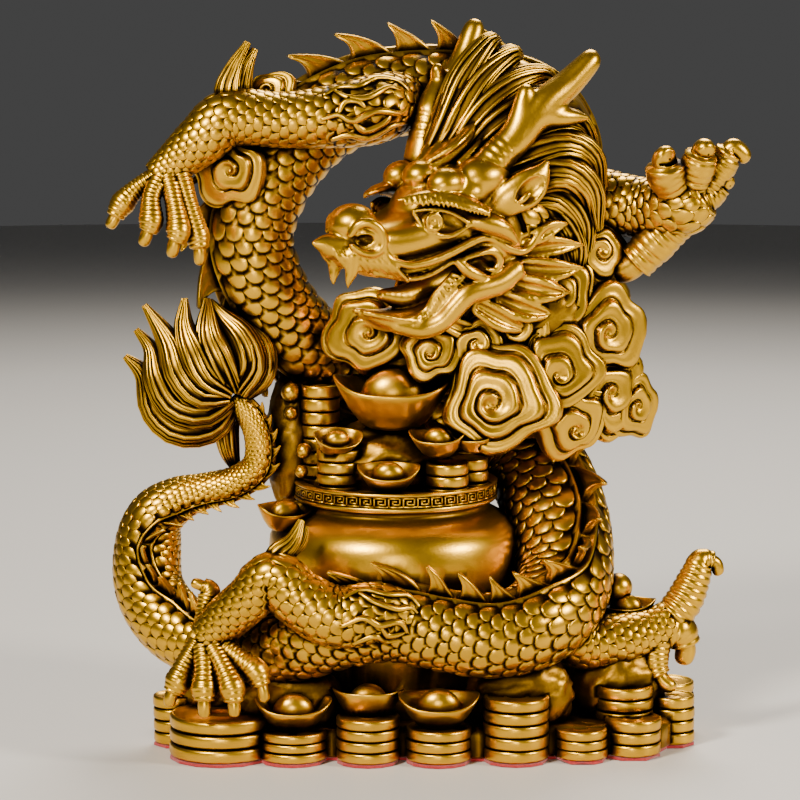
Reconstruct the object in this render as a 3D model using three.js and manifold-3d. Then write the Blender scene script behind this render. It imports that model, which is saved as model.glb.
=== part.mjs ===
// A cast brass dragon coiled round a treasure pot, on a base of coin stacks and ingots, over a thin red felt pad.
// Millimetres, +Z up. The front is -Y, and the dragon's head turns towards -X.
// The casting is parted as a founder would part it, at the neck, the shoulder and two hips, with a narrow seam
// at each, so that the gaps between its limbs stay open. The felt pad is glued under it.
import * as THREE from "three";
import { mergeVertices } from "three/addons/utils/BufferGeometryUtils.js";
import Module from "manifold-3d";

const wasm = await Module();
wasm.setup();

// Driving sizes
const PAD_THICK = 1.2;
const FIT_GAP = 0.3;
const FOOT = PAD_THICK + FIT_GAP;
const TO_CENTRE = [-0.5, 3.55, 0];
const POT_CENTRE = [-15, 0];
const POT_RIM_RADIUS = 45;
const POT_RIM_TOP = 116.5;
const POT_BAND_HEIGHT = 8.5;
const POT_BELLY_RADIUS = 57;
const POT_BELLY_Z = 84;
const POT_FOOT_RADIUS = 40;
const POT_FOOT_Z = 12;
const FIN_PITCH = 15;
const FIN_LEAST_HEIGHT = 5;
const FIN_HEIGHT_SHARE = 0.45;
const FIN_THICK_SHARE = 0.2;
const SEAM = 0.6;
const SLIVER = 0.12;
const FACETS = { dragon_casting: 3900, dragon_hind_leg: 410, dragon_tail: 780, dragon_forepart: 1080, dragon_head: 2180 };
const PAD_FACETS = 400;
const SLIMMEST = 0.004;
const BODY_SIDES = 9;
const BODY_STEPS_PER_ROW = 1.6;
const SHOULDER_CUT = [1.6, 13];
const HIP_CUT = 27.2;

// Brass, polished on the high parts and dark in the recesses, and red felt.
const brass = new THREE.MeshStandardMaterial({ color: 0xc08a2e, roughness: 0.34, metalness: 1 });
const felt = new THREE.MeshStandardMaterial({ color: 0xa31420, roughness: 0.95, metalness: 0 });

// The body's centreline from the neck to the tail: place, radius and the way its ridge of fins faces.
const SPINE = [
  { at: [31, -18, 233], r: 17, ridge: [0.3, 0.6, 0.7] },
  { at: [47, -2, 242], r: 19, ridge: [0.7, 0.4, 0.4] },
  { at: [57, 12, 259], r: 20, ridge: [0.95, 0.1, 0.2] },
  { at: [50, 22, 278], r: 20, ridge: [0.7, 0, 0.7] },
  { at: [32, 26, 287], r: 19.5, ridge: [0.25, -0.1, 0.95] },
  { at: [12, 26, 289], r: 19.5, ridge: [0.05, -0.2, 1] },
  { at: [-11, 24, 289], r: 19.5, ridge: [-0.1, -0.25, 1] },
  { at: [-33, 20, 285], r: 19.5, ridge: [-0.3, -0.25, 0.95] },
  { at: [-55, 14, 272], r: 20, ridge: [-0.65, -0.25, 0.75] },
  { at: [-72, 8, 251], r: 20, ridge: [-0.9, -0.3, 0.35] },
  { at: [-80, 5, 227], r: 19.5, ridge: [-0.95, -0.3, 0] },
  { at: [-76, 6, 205], r: 19.5, ridge: [-0.85, -0.5, -0.25] },
  { at: [-65, 12, 184], r: 20, ridge: [-0.6, -0.65, -0.5] },
  { at: [-45, 24, 165], r: 20, ridge: [-0.35, -0.6, -0.7] },
  { at: [-22, 36, 149], r: 20, ridge: [-0.1, -0.8, -0.6] },
  { at: [3, 42, 137], r: 20.5, ridge: [0.1, -0.9, -0.4] },
  { at: [29, 42, 127], r: 21, ridge: [0.25, -0.95, -0.1] },
  { at: [47, 30, 119], r: 22, ridge: [0.4, -0.9, 0] },
  { at: [56, 12, 104], r: 22.5, ridge: [0.47, -0.88, 0] },
  { at: [60, -8, 87], r: 22, ridge: [0.45, -0.85, 0.25] },
  { at: [59, -28, 70], r: 20.5, ridge: [0.25, -0.7, 0.65] },
  { at: [47, -46, 59], r: 19, ridge: [-0.1, -0.45, 0.9] },
  { at: [27, -54, 55], r: 18, ridge: [0, -0.35, 0.95] },
  { at: [5, -56, 58], r: 17.5, ridge: [0, -0.3, 0.95] },
  { at: [-17, -56, 62], r: 17.5, ridge: [0, -0.3, 0.95] },
  { at: [-39, -54, 58], r: 17, ridge: [0, -0.3, 0.95] },
  { at: [-59, -47, 50], r: 16.5, ridge: [-0.05, -0.3, 0.95] },
  { at: [-80, -36, 45], r: 16, ridge: [-0.1, -0.4, 0.9] },
  { at: [-99, -24, 45], r: 15.5, ridge: [0.1, -0.6, 0.8] },
  { at: [-116, -14, 53], r: 15.5, ridge: [0.4, -0.65, 0.6] },
  { at: [-126, -6, 67], r: 15, ridge: [0.3, -0.95, 0.1] },
  { at: [-127, -2, 85], r: 14.5, ridge: [-0.05, -1, 0] },
  { at: [-123, -2, 99], r: 12.5, ridge: [0.1, -0.95, -0.3] },
  { at: [-113, -2, 107], r: 10, ridge: [0.15, -0.8, -0.6] },
  { at: [-101, -3, 111], r: 8, ridge: [0, -0.7, -0.7] },
  { at: [-87, -5, 115], r: 7.5, ridge: [0.2, -0.6, -0.75] },
  { at: [-77, -7, 123], r: 7, ridge: [0.65, -0.6, -0.45] },
  { at: [-76, -8, 135], r: 6.5, ridge: [0.85, -0.5, 0] },
  { at: [-80, -8, 146], r: 6, ridge: [0.8, -0.5, 0.3] },
  { at: [-88, -8, 155], r: 5, ridge: [0.7, -0.5, 0.5] },
];
// Spans of the centreline, counted in its points, where fins stand clear of the pot and the clouds.
const FINNED = [
  [4.3, 12.9],
  [16.8, 27.6],
  [28.2, 38.2],
];

// Each limb is a chain of places and radii, and each toe runs from the palm to the tip of its claw.
const LIMBS = {
  upperLeft: {
    chain: [[-25, -6, 283, 15], [-45, -12, 280, 13], [-66, -15, 279, 11.5], [-88, -17, 280, 12],
      [-100, -19, 271, 11], [-113, -20, 260, 8.5], [-121, -21, 253, 7]],
    toes: [
      [[-117, -22, 256, 5.5], [-128, -24, 250, 4.5], [-135, -26, 243, 5.5], [-139, -27, 236, 3.5], [-141, -27, 232, 1]],
      [[-118, -24, 254, 5.5], [-122, -30, 246, 4.5], [-122, -34, 236, 5.5], [-124, -35, 230, 3.5], [-126, -34, 225, 1]],
      [[-115, -24, 254, 5.5], [-112, -31, 244, 4.5], [-110, -36, 232, 5.5], [-112, -37, 226, 3.5], [-113, -36, 220, 1]],
      [[-110, -23, 255, 5.5], [-106, -28, 243, 4.5], [-102, -30, 229, 5.5], [-101, -31, 222, 3.5], [-101, -30, 216, 1]],
    ],
  },
  lowerLeft: {
    chain: [[-20, -66, 68, 13], [-41, -67, 66, 13], [-57, -66, 74, 12], [-68, -63, 83, 11],
      [-79, -62, 73, 10], [-90, -60, 63, 9.5], [-99, -60, 54, 8]],
    toes: [
      [[-99, -56, 56, 5.5], [-98, -52, 66, 5], [-97, -50, 74, 5], [-101, -50, 77, 3], [-105, -50, 78, 1]],
      [[-101, -60, 53, 5.5], [-107, -64, 44, 5], [-110, -66, 37, 6], [-113, -67, 31, 3.5], [-114, -67, 26, 1]],
      [[-99, -63, 52, 5.5], [-98, -70, 43, 5], [-98, -74, 35, 6], [-98, -76, 29, 3.5], [-98, -76, 23, 1]],
      [[-96, -63, 53, 5.5], [-90, -71, 44, 5], [-86, -76, 36, 6], [-85, -78, 29, 3.5], [-85, -78, 24, 1]],
      [[-93, -61, 54, 5.5], [-83, -67, 47, 5], [-76, -70, 42, 6], [-73, -72, 35, 3.5], [-72, -72, 29, 1]],
    ],
  },
  upperRight: {
    chain: [[70, 14, 244, 13], [95, 8, 238, 13], [113, -4, 240, 13], [122, -6, 246, 10]],
    toes: [
      [[110, -8, 246, 8], [105, -14, 255, 9], [104, -17, 262, 7], [106, -20, 262, 3]],
      [[116, -8, 248, 8], [119, -13, 259, 8], [121, -16, 266, 6], [123, -20, 264, 2.5]],
      [[121, -4, 248, 8], [130, -5, 259, 7.5], [135, -6, 266, 5], [142, -5, 260, 1.5]],
      [[116, -6, 240, 9], [126, -2, 246, 7], [131, -2, 251, 5], [134, -6, 249, 2]],
      [[114, -4, 236, 9], [101, 0, 223, 9.5], [90, 2, 212, 8.5], [80, 6, 208, 7]],
    ],
  },
  lowerRight: {
    chain: [[68, -30, 48, 12], [84, -28, 48, 11], [98, -25, 51, 9.5], [108, -23, 56, 8.5]],
    toes: [
      [[106, -23, 54, 8.5], [114, -21, 64, 8.8], [119, -20, 75, 7.5], [122, -19, 82, 5.5], [128, -18, 81, 3.8], [130, -18, 75, 1]],
      [[106, -23, 52, 9], [112, -22, 50, 8.5], [115, -21, 42, 6], [113, -21, 35, 2.5]],
      [[102, -25, 50, 8], [101, -28, 38, 6], [104, -30, 30, 5], [110, -32, 26, 2]],
    ],
  },
};

// Tufts at the elbow and the knee, and flame locks of the tail: places and radii from root to tip.
const ELBOW_TUFT = [[-84, -15, 282, 10], [-87, -14, 292, 9], [-84, -12, 301, 7], [-79, -11, 311, 3]];
const KNEE_TUFT = [[-68, -60, 84, 9], [-65, -59, 93, 8], [-58, -58, 97, 6], [-55, -56, 106, 2.5]];
const TAIL_LOCKS = [
  [[-88, -8, 153, 6], [-97, -9, 140, 8], [-112, -9, 139, 8], [-123, -8, 149, 7], [-127, -8, 166, 5], [-135, -8, 172, 1.5]],
  [[-89, -10, 154, 6], [-101, -13, 147, 8], [-114, -13, 151, 8], [-121, -11, 163, 7], [-124, -9, 176, 5], [-130, -8, 184, 1.5]],
  [[-90, -12, 155, 6], [-102, -15, 155, 8], [-111, -15, 165, 8], [-115, -12, 180, 6], [-126, -9, 195, 1.5]],
  [[-89, -12, 157, 6], [-99, -15, 163, 8], [-105, -14, 175, 8], [-109, -12, 186, 6], [-108, -9, 198, 1.5]],
  [[-87, -11, 158, 6], [-93, -14, 170, 8], [-99, -13, 182, 7], [-99, -9, 199, 1.5]],
  [[-85, -10, 157, 6], [-79, -11, 168, 8], [-83, -11, 181, 7], [-92, -9, 190, 5], [-97, -8, 197, 1.5]],
  [[-83, -8, 155, 5], [-74, -8, 164, 7], [-74, -8, 177, 7], [-84, -8, 188, 3]],
  [[-88, -5, 152, 6], [-91, 0, 141, 7], [-90, 2, 129, 6], [-86, 2, 118, 3]],
];
const TAIL_FLATNESS = 0.7;

// The head's own frame: FORE runs along the snout, UP through the brow, and SIDE out of the cheek nearer the viewer.
const HEAD_CENTRE = new THREE.Vector3(-9, -33, 234);
const SIDE = new THREE.Vector3(0.58, -0.81, -0.035).normalize();
const FORE = new THREE.Vector3(-0.8, -0.58, -0.13).addScaledVector(SIDE, 0.004).normalize();
const UP = new THREE.Vector3().crossVectors(FORE, SIDE).normalize();
const SKULL = [
  { at: [-26, 2, 0], size: [28, 25, 25] },
  { at: [-4, 4, 0], size: [20, 14, 18] },
  { at: [32, 7, 0], size: [10, 9, 11] },
  { at: [-9, 19, 0], size: [9, 8, 9] },
];
// Each of these has a twin on the far cheek.
const SKULL_PAIRS = [
  { at: [28, 1, 9], size: [7, 6, 6] },
  { at: [-10, 16, 17], size: [10, 8, 9] },
  { at: [-29, 21, 16], size: [12, 10, 11] },
  { at: [-1, 5, 15], size: [6, 5, 5] },
  { at: [-31, -8, 20], size: [14, 15, 10] },
  { at: [-30, 21, 22], size: [9, 8, 6] },
];
const SNOUT = [[-14, -1, 0, 22, 18], [4, -3, 0, 20, 13], [20, -2, 0, 18, 13], [33, 0, 0, 14, 14], [41, 0, 0, 9, 10]];
const LOWER_JAW = [[-38, -16, 0, 22, 16], [-20, -29, 0, 20, 13], [-2, -40, 0, 17, 9], [14, -40, 0, 13, 6.5], [28, -36, 0, 8, 4]];
const TONGUE = [[-20, -22, 0, 9], [-4, -27, 0, 7], [10, -28, 0, 6], [20, -25, 0, 3]];
const THROAT = [[-40, -6, 0, 20, 20], [-52, -14, 0, 20, 20]];
const BROW = [[1, 12, 4, 3], [-4, 14, 13, 4], [-14, 10, 22, 4], [-20, 4, 27, 2.5]];
const UPPER_LIP = [[41, -6, 6, 4], [30, -8, 15, 4.5], [11, -13, 20, 4], [-8, -11, 22, 3.5], [-24, -7, 25, 3], [-38, -13, 27, 2.5]];
const EAR = [[-34, 6, 24, 4], [-40, 12, 29, 7], [-46, 17, 33, 6], [-48, 22, 34, 1.5]];
const FANG = [[36, -8, 6, 4], [37, -14, 6, 3], [39, -21, 5, 0.8]];
const SIDE_FANG = [[-13, -10, 20, 3.5], [-17, -17, 22, 3], [-22, -19, 24, 1]];
const HORNS = [
  [[-28, 17, 16, 9], [-38, 26, 18, 8], [-48, 33, 20, 7.5], [-60, 44, 22, 7.5], [-74, 52, 24, 6.5], [-85, 61, 26, 4.5]],
  [[-58, 41, 22, 6], [-69, 39, 27, 4.5], [-79, 37, 30, 1.5]],
  [[-47, 34, 20, 6], [-51, 43, 20, 5], [-54, 51, 20, 3.5]],
  [[-22, 24, -16, 9], [-27, 36, -18, 8], [-34, 46, -20, 7.5], [-46, 54, -23, 7], [-55, 63, -25, 5.5], [-62, 75, -26, 4]],
  [[-30, 44, -19, 6], [-38, 54, -22, 4.5], [-38, 61, -22, 3]],
];
const CREST = [[-14, 22, 0, 6], [-28, 30, 0, 6], [-38, 37, 0, 4], [-44, 41, 0, 1.5]];
const CHEEK_SPIKES = [
  [[-36, 2, 22, 5], [-50, 4, 27, 6], [-66, 8, 30, 1.5]],
  [[-38, -6, 22, 6], [-56, -8, 27, 7.5], [-74, -5, 30, 1.5]],
  [[-38, -14, 20, 6], [-56, -20, 25, 8], [-77, -21, 28, 1.5]],
  [[-36, -22, 18, 6], [-52, -31, 22, 8], [-72, -36, 24, 1.5]],
  [[-28, -30, 16, 6], [-42, -41, 18, 7.5], [-60, -50, 20, 1.5]],
];

// The mane: a swept mass of hair behind the horns, and the locks that edge it, in the casting's own frame.
const MANE_MASS = { at: [53, 2, 256], size: [25, 24, 40] };
const MANE_LOCKS = [
  [[0, -14, 264, 7], [14, -8, 286, 9], [26, 0, 302, 8], [36, 8, 310, 4]],
  [[12, -14, 266, 7], [26, -8, 284, 9], [44, 0, 296, 8], [56, 6, 298, 4]],
  [[22, -16, 263, 8], [40, -13, 274, 10], [58, -8, 284, 8], [66, 0, 286, 3]],
  [[28, -20, 256, 7], [48, -20, 268, 9], [66, -14, 272, 9], [76, -6, 264, 7], [79, -2, 250, 4]],
  [[30, -22, 250, 7], [50, -24, 258, 9], [68, -20, 258, 9], [77, -12, 244, 7], [72, -12, 228, 3]],
  [[32, -24, 244, 7], [50, -27, 248, 9], [66, -23, 244, 9], [72, -18, 230, 6], [64, -18, 218, 3]],
];

// Clouds: place, radius, the way the face looks, and the turn of the lobes.
const CLOUDS = [
  { at: [-29, -14, 185], r: 19, face: [-0.3, -0.95, 0.1], turn: 0.4 },
  { at: [1, -28, 179], r: 14, face: [0, -0.95, 0.2], turn: 1.2 },
  { at: [20, -24, 178], r: 16, face: [0.1, -0.95, 0], turn: 2.0 },
  { at: [52, -16, 200], r: 21, face: [0.2, -0.95, 0.1], turn: 0.9 },
  { at: [80, -6, 184], r: 20, face: [0.45, -0.9, 0], turn: 1.6 },
  { at: [58, -20, 170], r: 21, face: [0.25, -0.95, 0], turn: 0.2 },
  { at: [31, -30, 158], r: 25, face: [0, -0.98, 0.15], turn: 2.6 },
  { at: [62, -14, 146], r: 18, face: [0.3, -0.9, -0.2], turn: 1.1 },
  { at: [81, -2, 155], r: 20, face: [0.5, -0.85, 0], turn: 0.7 },
  { at: [75, 0, 216], r: 16, face: [0.4, -0.9, 0.1], turn: 2.2 },
  { at: [64, 32, 196], r: 26, face: [0.3, 0.95, 0.1], turn: 0.8 },
  { at: [30, 34, 178], r: 26, face: [-0.1, 0.98, 0.1], turn: 2.1 },
  { at: [66, 32, 158], r: 24, face: [0.3, 0.95, 0], turn: 1.5 },
  { at: [-2, 38, 172], r: 20, face: [-0.2, 0.95, 0.2], turn: 0.3 },
];
// The clouds that grow on the forward half of the body.
const FORE_CLOUDS = [
  { at: [-89, -11, 256], r: 17, face: [-0.3, -0.95, -0.1], turn: 1.4 },
  { at: [-70, -4, 287], r: 13, face: [-0.2, -0.9, 0.4], turn: 0.5 },
];
const CLOUD_LOBES = 4;
const CLOUD_SIDES = 12;
const CLOUD_MASS = [
  { at: [44, 4, 192], size: [32, 30, 34] },
  { at: [48, 8, 160], size: [30, 30, 26] },
  { at: [2, 6, 175], size: [38, 30, 21] },
];

// Ingots: place, half length, turn about Z, tilt towards the viewer in degrees, and share of the usual height.
const INGOTS = [
  { at: [-16, -18, 143], half: 27, turn: 0, tilt: 8 },
  { at: [-42, -26, 132.5], half: 11.5, turn: 20, tilt: 30 },
  { at: [-18, -36, 117], half: 14, turn: 0, tilt: 20 },
  { at: [4, -31, 132], half: 13, turn: -10, tilt: 14 },
  { at: [20, -32, 134], half: 10, turn: -20, tilt: 14 },
  { at: [-65, -20, 97], half: 14, turn: 30, tilt: 14 },
  { at: [-60, -58, 14], half: 17, turn: 5, tilt: 12 },
  { at: [-27, -56, 18], half: 16, turn: 0, tilt: -12 },
  { at: [4, -60, 16], half: 18, turn: 0, tilt: 14 },
  { at: [89, -15, 53], half: 14, turn: -20, tilt: 10 },
  { at: [-79, -19, 61], half: 10, turn: 60, tilt: 12 },
  { at: [-40, 50, 16], half: 18, turn: 185, tilt: 12 },
  { at: [20, 52, 16], half: 18, turn: 175, tilt: 12 },
];
const INGOT_SIDES = 10;

// Coin stacks: centre, radius, underside, coin thickness and count. A foot of null stands on the base.
const STACKS = [
  { at: [-92, -50], r: 23, from: FOOT, coin: 6.3, count: 3 },
  { at: [-113, -26], r: 10.5, from: FOOT, coin: 5.4, count: 4 },
  { at: [-60, -58], r: 15, from: FOOT, coin: 4.3, count: 3 },
  { at: [-27, -60], r: 14, from: FOOT, coin: 4.9, count: 4 },
  { at: [4, -60], r: 14.5, from: FOOT, coin: 4.9, count: 3 },
  { at: [38, -58], r: 14.5, from: FOOT, coin: 5.6, count: 5 },
  { at: [67, -56], r: 11.5, from: FOOT, coin: 4.4, count: 3 },
  { at: [90, -48], r: 12.5, from: FOOT, coin: 5.4, count: 3 },
  { at: [87, -34], r: 13, from: FOOT, coin: 5.6, count: 5 },
  { at: [109, -26], r: 10, from: FOOT, coin: 5.4, count: 4 },
  { at: [108, 4], r: 13, from: FOOT, coin: 21.6, count: 1 },
  { at: [88, 34], r: 15, from: FOOT, coin: 21.6, count: 1 },
  { at: [52, 52], r: 15, from: FOOT, coin: 16.2, count: 1 },
  { at: [20, 58], r: 14, from: FOOT, coin: 15, count: 1 },
  { at: [-12, 60], r: 15, from: FOOT, coin: 21.6, count: 1 },
  { at: [-46, 56], r: 14, from: FOOT, coin: 15, count: 1 },
  { at: [-78, 42], r: 16, from: FOOT, coin: 21.6, count: 1 },
  { at: [-106, 14], r: 14, from: FOOT, coin: 16.2, count: 1 },
  { at: [-79, -18], r: 9, from: 12, coin: 51, count: 1 },
  { at: [-40, -21], r: 10, from: 112, coin: 5.4, count: 4 },
  { at: [-49, -2], r: 9, from: 112, coin: 6, count: 8 },
  { at: [8, -27], r: 9.5, from: 112, coin: 5.4, count: 3 },
  { at: [18, -13], r: 8.5, from: 112, coin: 5.4, count: 3 },
];
const STACK_SIDES = 11;
const COIN_CHAMFER = 0.9;

// Loose pearls: place and radius.
const PEARLS = [
  [-79, -20, 75, 6.5], [85, -14, 69, 6.5], [-62, -4, 156, 4.5], [-62, -7, 147, 3], [-56, -14, 131, 3.5], [-57, -16, 122, 3],
];

// The base mass inside the ring of stacks: its outline as half widths and a wave, and its flat top.
const BASE_CENTRE = [-3, 0];
const BASE_HALF = [114, 60];
const BASE_SQUARENESS = 4;
const BASE_WAVE = 2;
const BASE_WAVES = 9;
const BASE_POINTS = 36;
const BASE_TOP = 15;
const PILLARS = [
  { at: [-60, -46, 20], size: [24, 12, 22] },
  { at: [40, -44, 26], size: [24, 14, 22] },
  { at: [84, -24, 26], size: [22, 16, 22] },
  { at: [-98, -24, 24], size: [16, 14, 14] },
  { at: [60, 8, 50], size: [24, 26, 42] },
  { at: [-20, 30, 128], size: [40, 20, 18] },
  { at: [-22, -4, 122], size: [40, 38, 20] },
  { at: [-61, 6, 132], size: [13, 14, 34] },
];

// A closed three.js geometry as a manifold solid.
function solid(geometry) {
  const bare = geometry.clone();
  bare.deleteAttribute("normal");
  bare.deleteAttribute("uv");
  const merged = mergeVertices(bare, 1e-4);
  const made = new wasm.Manifold(
    new wasm.Mesh({
      numProp: 3,
      vertProperties: new Float32Array(merged.attributes.position.array),
      triVerts: new Uint32Array(merged.index.array),
    }),
  );
  if (made.volume() > 0) return made;
  const faces = new Uint32Array(merged.index.array).reverse();
  return new wasm.Manifold(
    new wasm.Mesh({ numProp: 3, vertProperties: new Float32Array(merged.attributes.position.array), triVerts: faces }),
  );
}

// A manifold solid as a three.js geometry.
function geometryOf(made) {
  const mesh = made.getMesh();
  return new THREE.BufferGeometry()
    .setAttribute("position", new THREE.BufferAttribute(mesh.vertProperties, 3))
    .setIndex(new THREE.BufferAttribute(mesh.triVerts, 1));
}

// Every vertex of a geometry moved by a function of its place.
function moved(geometry, where) {
  const place = geometry.attributes.position;
  const v = new THREE.Vector3();
  for (let i = 0; i < place.count; i++) {
    v.fromBufferAttribute(place, i);
    const to = where(v);
    place.setXYZ(i, to.x, to.y, to.z);
  }
  return geometry;
}

// A value read between the stations of a list, by index.
function between(values, t) {
  const i = Math.min(Math.floor(t), values.length - 2);
  return values[i] + (values[i + 1] - values[i]) * (t - i);
}

// A smooth line through places, with its radius and the way its ridge faces, read by index.
function line(places, radii, ridges) {
  const curve = new THREE.CatmullRomCurve3(places.map((p) => new THREE.Vector3(...p)), false, "catmullrom", 0.5);
  const last = places.length - 1;
  return (t) => {
    const share = THREE.MathUtils.clamp(t / last, 0, 1);
    const along = curve.getTangent(share);
    const ridge = new THREE.Vector3(...[0, 1, 2].map((k) => between(ridges.map((d) => d[k]), share * last)));
    ridge.addScaledVector(along, -ridge.dot(along)).normalize();
    return { at: curve.getPoint(share), along, ridge, side: along.clone().cross(ridge), r: between(radii, share * last) };
  };
}

// A closed tapered tube along a line: a cylinder whose rings follow it. Flatness under 1 thins it along the ridge.
function tube(read, last, sides, steps, flatness = 1, first = 0) {
  const rod = new THREE.CylinderGeometry(1, 1, 1, sides, steps);
  return moved(rod, (v) => {
    const { at, ridge, side, r } = read(first + (v.y + 0.5) * (last - first));
    return at.clone().addScaledVector(side, v.x * r).addScaledVector(ridge, v.z * r * flatness);
  });
}

// A limb, toe, horn or lock: rows of x, y, z and radius.
function limb(rows, sides = 7, perSpan = 1, flatness = 1, ridge = [0.05, -1, 0.1]) {
  const read = line(rows.map((p) => p.slice(0, 3)), rows.map((p) => p[3]), rows.map(() => ridge));
  return solid(tube(read, rows.length - 1, sides, (rows.length - 1) * perSpan, flatness));
}

// An egg shape with its three half sizes.
function egg(at, size, across = 9, down = 6) {
  return solid(new THREE.SphereGeometry(1, across, down).rotateX(Math.PI / 2).scale(...size).translate(...at));
}

// The same rows on the far cheek.
function far(rows) {
  return rows.map(([a, b, c, ...rest]) => [a, b, -c, ...rest]);
}

// A place in the head's frame, as a place in the casting's.
function inHead([a, b, c]) {
  return HEAD_CENTRE.clone().addScaledVector(FORE, a).addScaledVector(UP, b).addScaledVector(SIDE, c);
}

function headRows(rows) {
  return rows.map((row) => [...inHead(row).toArray(), row[3]]);
}

// An egg shape laid along the head's own axes.
function headEgg({ at, size }, across, down) {
  const ball = new THREE.SphereGeometry(1, across, down);
  return solid(moved(ball, (v) => inHead([at[0] + v.x * size[0], at[1] + v.y * size[1], at[2] + v.z * size[2]])));
}

// A snout or jaw: rows of place, half width and half height, in the head's frame.
function muzzle(rows, sides, steps) {
  const rod = new THREE.CylinderGeometry(1, 1, 1, sides, steps);
  const last = rows.length - 1;
  return solid(moved(rod, (v) => {
    const t = (v.y + 0.5) * last;
    const [a, b, c, wide, high] = [0, 1, 2, 3, 4].map((k) => between(rows.map((row) => row[k]), t));
    return inHead([a, b + v.z * high, c + v.x * wide]);
  }));
}

// A fin of the ridge: a thin blade with a swept back tip, rooted inside the body.
function fin(read, t, pitch) {
  const { r } = read(t);
  const rise = FIN_LEAST_HEIGHT + pitch * FIN_HEIGHT_SHARE;
  const thick = pitch * FIN_THICK_SHARE;
  const outline = new THREE.Shape([
    new THREE.Vector2(-0.55 * pitch, -3),
    new THREE.Vector2(0.5 * pitch, -3),
    new THREE.Vector2(0.3 * pitch, 0.35 * rise),
    new THREE.Vector2(0.55 * pitch, rise),
    new THREE.Vector2(-0.1 * pitch, 0.62 * rise),
  ]);
  const blade = new THREE.ExtrudeGeometry(outline, { depth: thick, bevelEnabled: false }).translate(0, 0, -thick / 2);
  const { at, along, ridge, side } = read(t);
  return solid(moved(blade, (v) =>
    at.clone().addScaledVector(along, v.x).addScaledVector(ridge, r + v.y).addScaledVector(side, v.z)));
}

// A stretch of the scaled body with its ridge of fins.
function body(first, last) {
  const read = line(SPINE.map((p) => p.at), SPINE.map((p) => p.r), SPINE.map((p) => p.ridge));
  const steps = Math.round((last - first) * BODY_STEPS_PER_ROW);
  const parts = [solid(tube(read, last, BODY_SIDES, steps, 1, first))];
  for (const [from, to] of FINNED) {
    let t = from;
    while (t < to) {
      const here = read(t);
      const pitch = FIN_PITCH * THREE.MathUtils.clamp(here.r / 18, 0.5, 1);
      if (t > first && t < last) parts.push(fin(read, t, pitch));
      const ahead = here.at.distanceTo(read(t + 0.1).at) / 0.1;
      t += pitch / ahead;
    }
  }
  return parts;
}

// A leg with its clawed toes.
function leg({ chain, toes }) {
  return [limb(chain, 8), ...toes.map((toe) => limb(toe, 6))];
}

// The head: skull, snout, open jaw, lips, brows, ears, fangs, horns and the spikes behind the cheeks.
function head() {
  const parts = [muzzle(SNOUT, 9, 4), muzzle(LOWER_JAW, 9, 4), muzzle(THROAT, 8, 1), limb(headRows(CREST), 6), limb(headRows(TONGUE), 6)];
  SKULL.forEach((lump) => parts.push(headEgg(lump, 9, 6)));
  SKULL_PAIRS.forEach(({ at, size }) => {
    parts.push(headEgg({ at, size }, 7, 5), headEgg({ at: [at[0], at[1], -at[2]], size }, 7, 5));
  });
  [BROW, UPPER_LIP, EAR, FANG, SIDE_FANG, ...CHEEK_SPIKES].forEach((rows) => {
    parts.push(limb(headRows(rows), 5), limb(headRows(far(rows)), 5));
  });
  HORNS.forEach((rows) => parts.push(limb(headRows(rows), 7)));
  return parts;
}

// The mane behind the horns.
function mane() {
  return [egg(MANE_MASS.at, MANE_MASS.size, 12, 8), ...MANE_LOCKS.map((rows) => limb(rows, 6, 1, 0.8))];
}

// The fan of hair on the tail.
function tailFan() {
  return TAIL_LOCKS.map((rows) => limb(rows, 6, 1, TAIL_FLATNESS));
}

// A cloud scroll: a lobed dish with a raised lip and a knob in the middle.
function cloud({ at, r, face, turn }) {
  const profile = [[0, -0.5], [1, -0.02], [0.84, 0.2], [0.42, 0.12], [0.22, 0.38], [0, 0.4]]
    .map(([x, y]) => new THREE.Vector2(x * r, y * r));
  const dish = new THREE.LatheGeometry(profile, CLOUD_SIDES);
  const look = new THREE.Quaternion().setFromUnitVectors(new THREE.Vector3(0, 1, 0), new THREE.Vector3(...face).normalize());
  return solid(moved(dish, (v) => {
    const lobe = 1 + 0.09 * Math.cos(CLOUD_LOBES * Math.atan2(v.z, v.x) + turn);
    return new THREE.Vector3(v.x * lobe, v.y, v.z * lobe).applyQuaternion(look).add(new THREE.Vector3(...at));
  }));
}

function clouds() {
  return [...CLOUD_MASS.map(({ at, size }) => egg(at, size, 10, 7)), ...CLOUDS.map(cloud)];
}

// A boat shaped ingot: an oval hull whose rim rises at both ends, with a dome in the middle.
function ingot({ at, half, turn, tilt }) {
  const profile = [[0, 0], [0.45, 0], [1, 0.62], [0.84, 0.6], [0.56, 0.48], [0.4, 0.82], [0, 0.98]]
    .map(([x, y]) => new THREE.Vector2(x, y));
  const hull = new THREE.LatheGeometry(profile, INGOT_SIDES);
  const lean = new THREE.Euler(THREE.MathUtils.degToRad(tilt), 0, THREE.MathUtils.degToRad(turn), "ZYX");
  return solid(moved(hull, (v) => {
    const rim = Math.hypot(v.x, v.z);
    const ends = rim > 0.7 ? 0.42 * (v.x / rim) ** 4 * (rim - 0.7) : 0;
    return new THREE.Vector3(v.x, v.z * 0.66, v.y + ends).multiplyScalar(half).applyEuler(lean).add(new THREE.Vector3(...at));
  }));
}

// A stack of coins as one turned solid, with a notch under each coin.
function stack({ at, r, from, coin, count }) {
  const profile = [new THREE.Vector2(0, from)];
  for (let i = 0; i < count; i++) {
    profile.push(new THREE.Vector2(r, from + i * coin));
    profile.push(new THREE.Vector2(r - COIN_CHAMFER, from + (i + 1) * coin - 0.1));
  }
  profile.push(new THREE.Vector2(0, from + count * coin - 0.1));
  return solid(new THREE.LatheGeometry(profile, STACK_SIDES).rotateX(Math.PI / 2).translate(at[0], at[1], 0));
}

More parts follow.
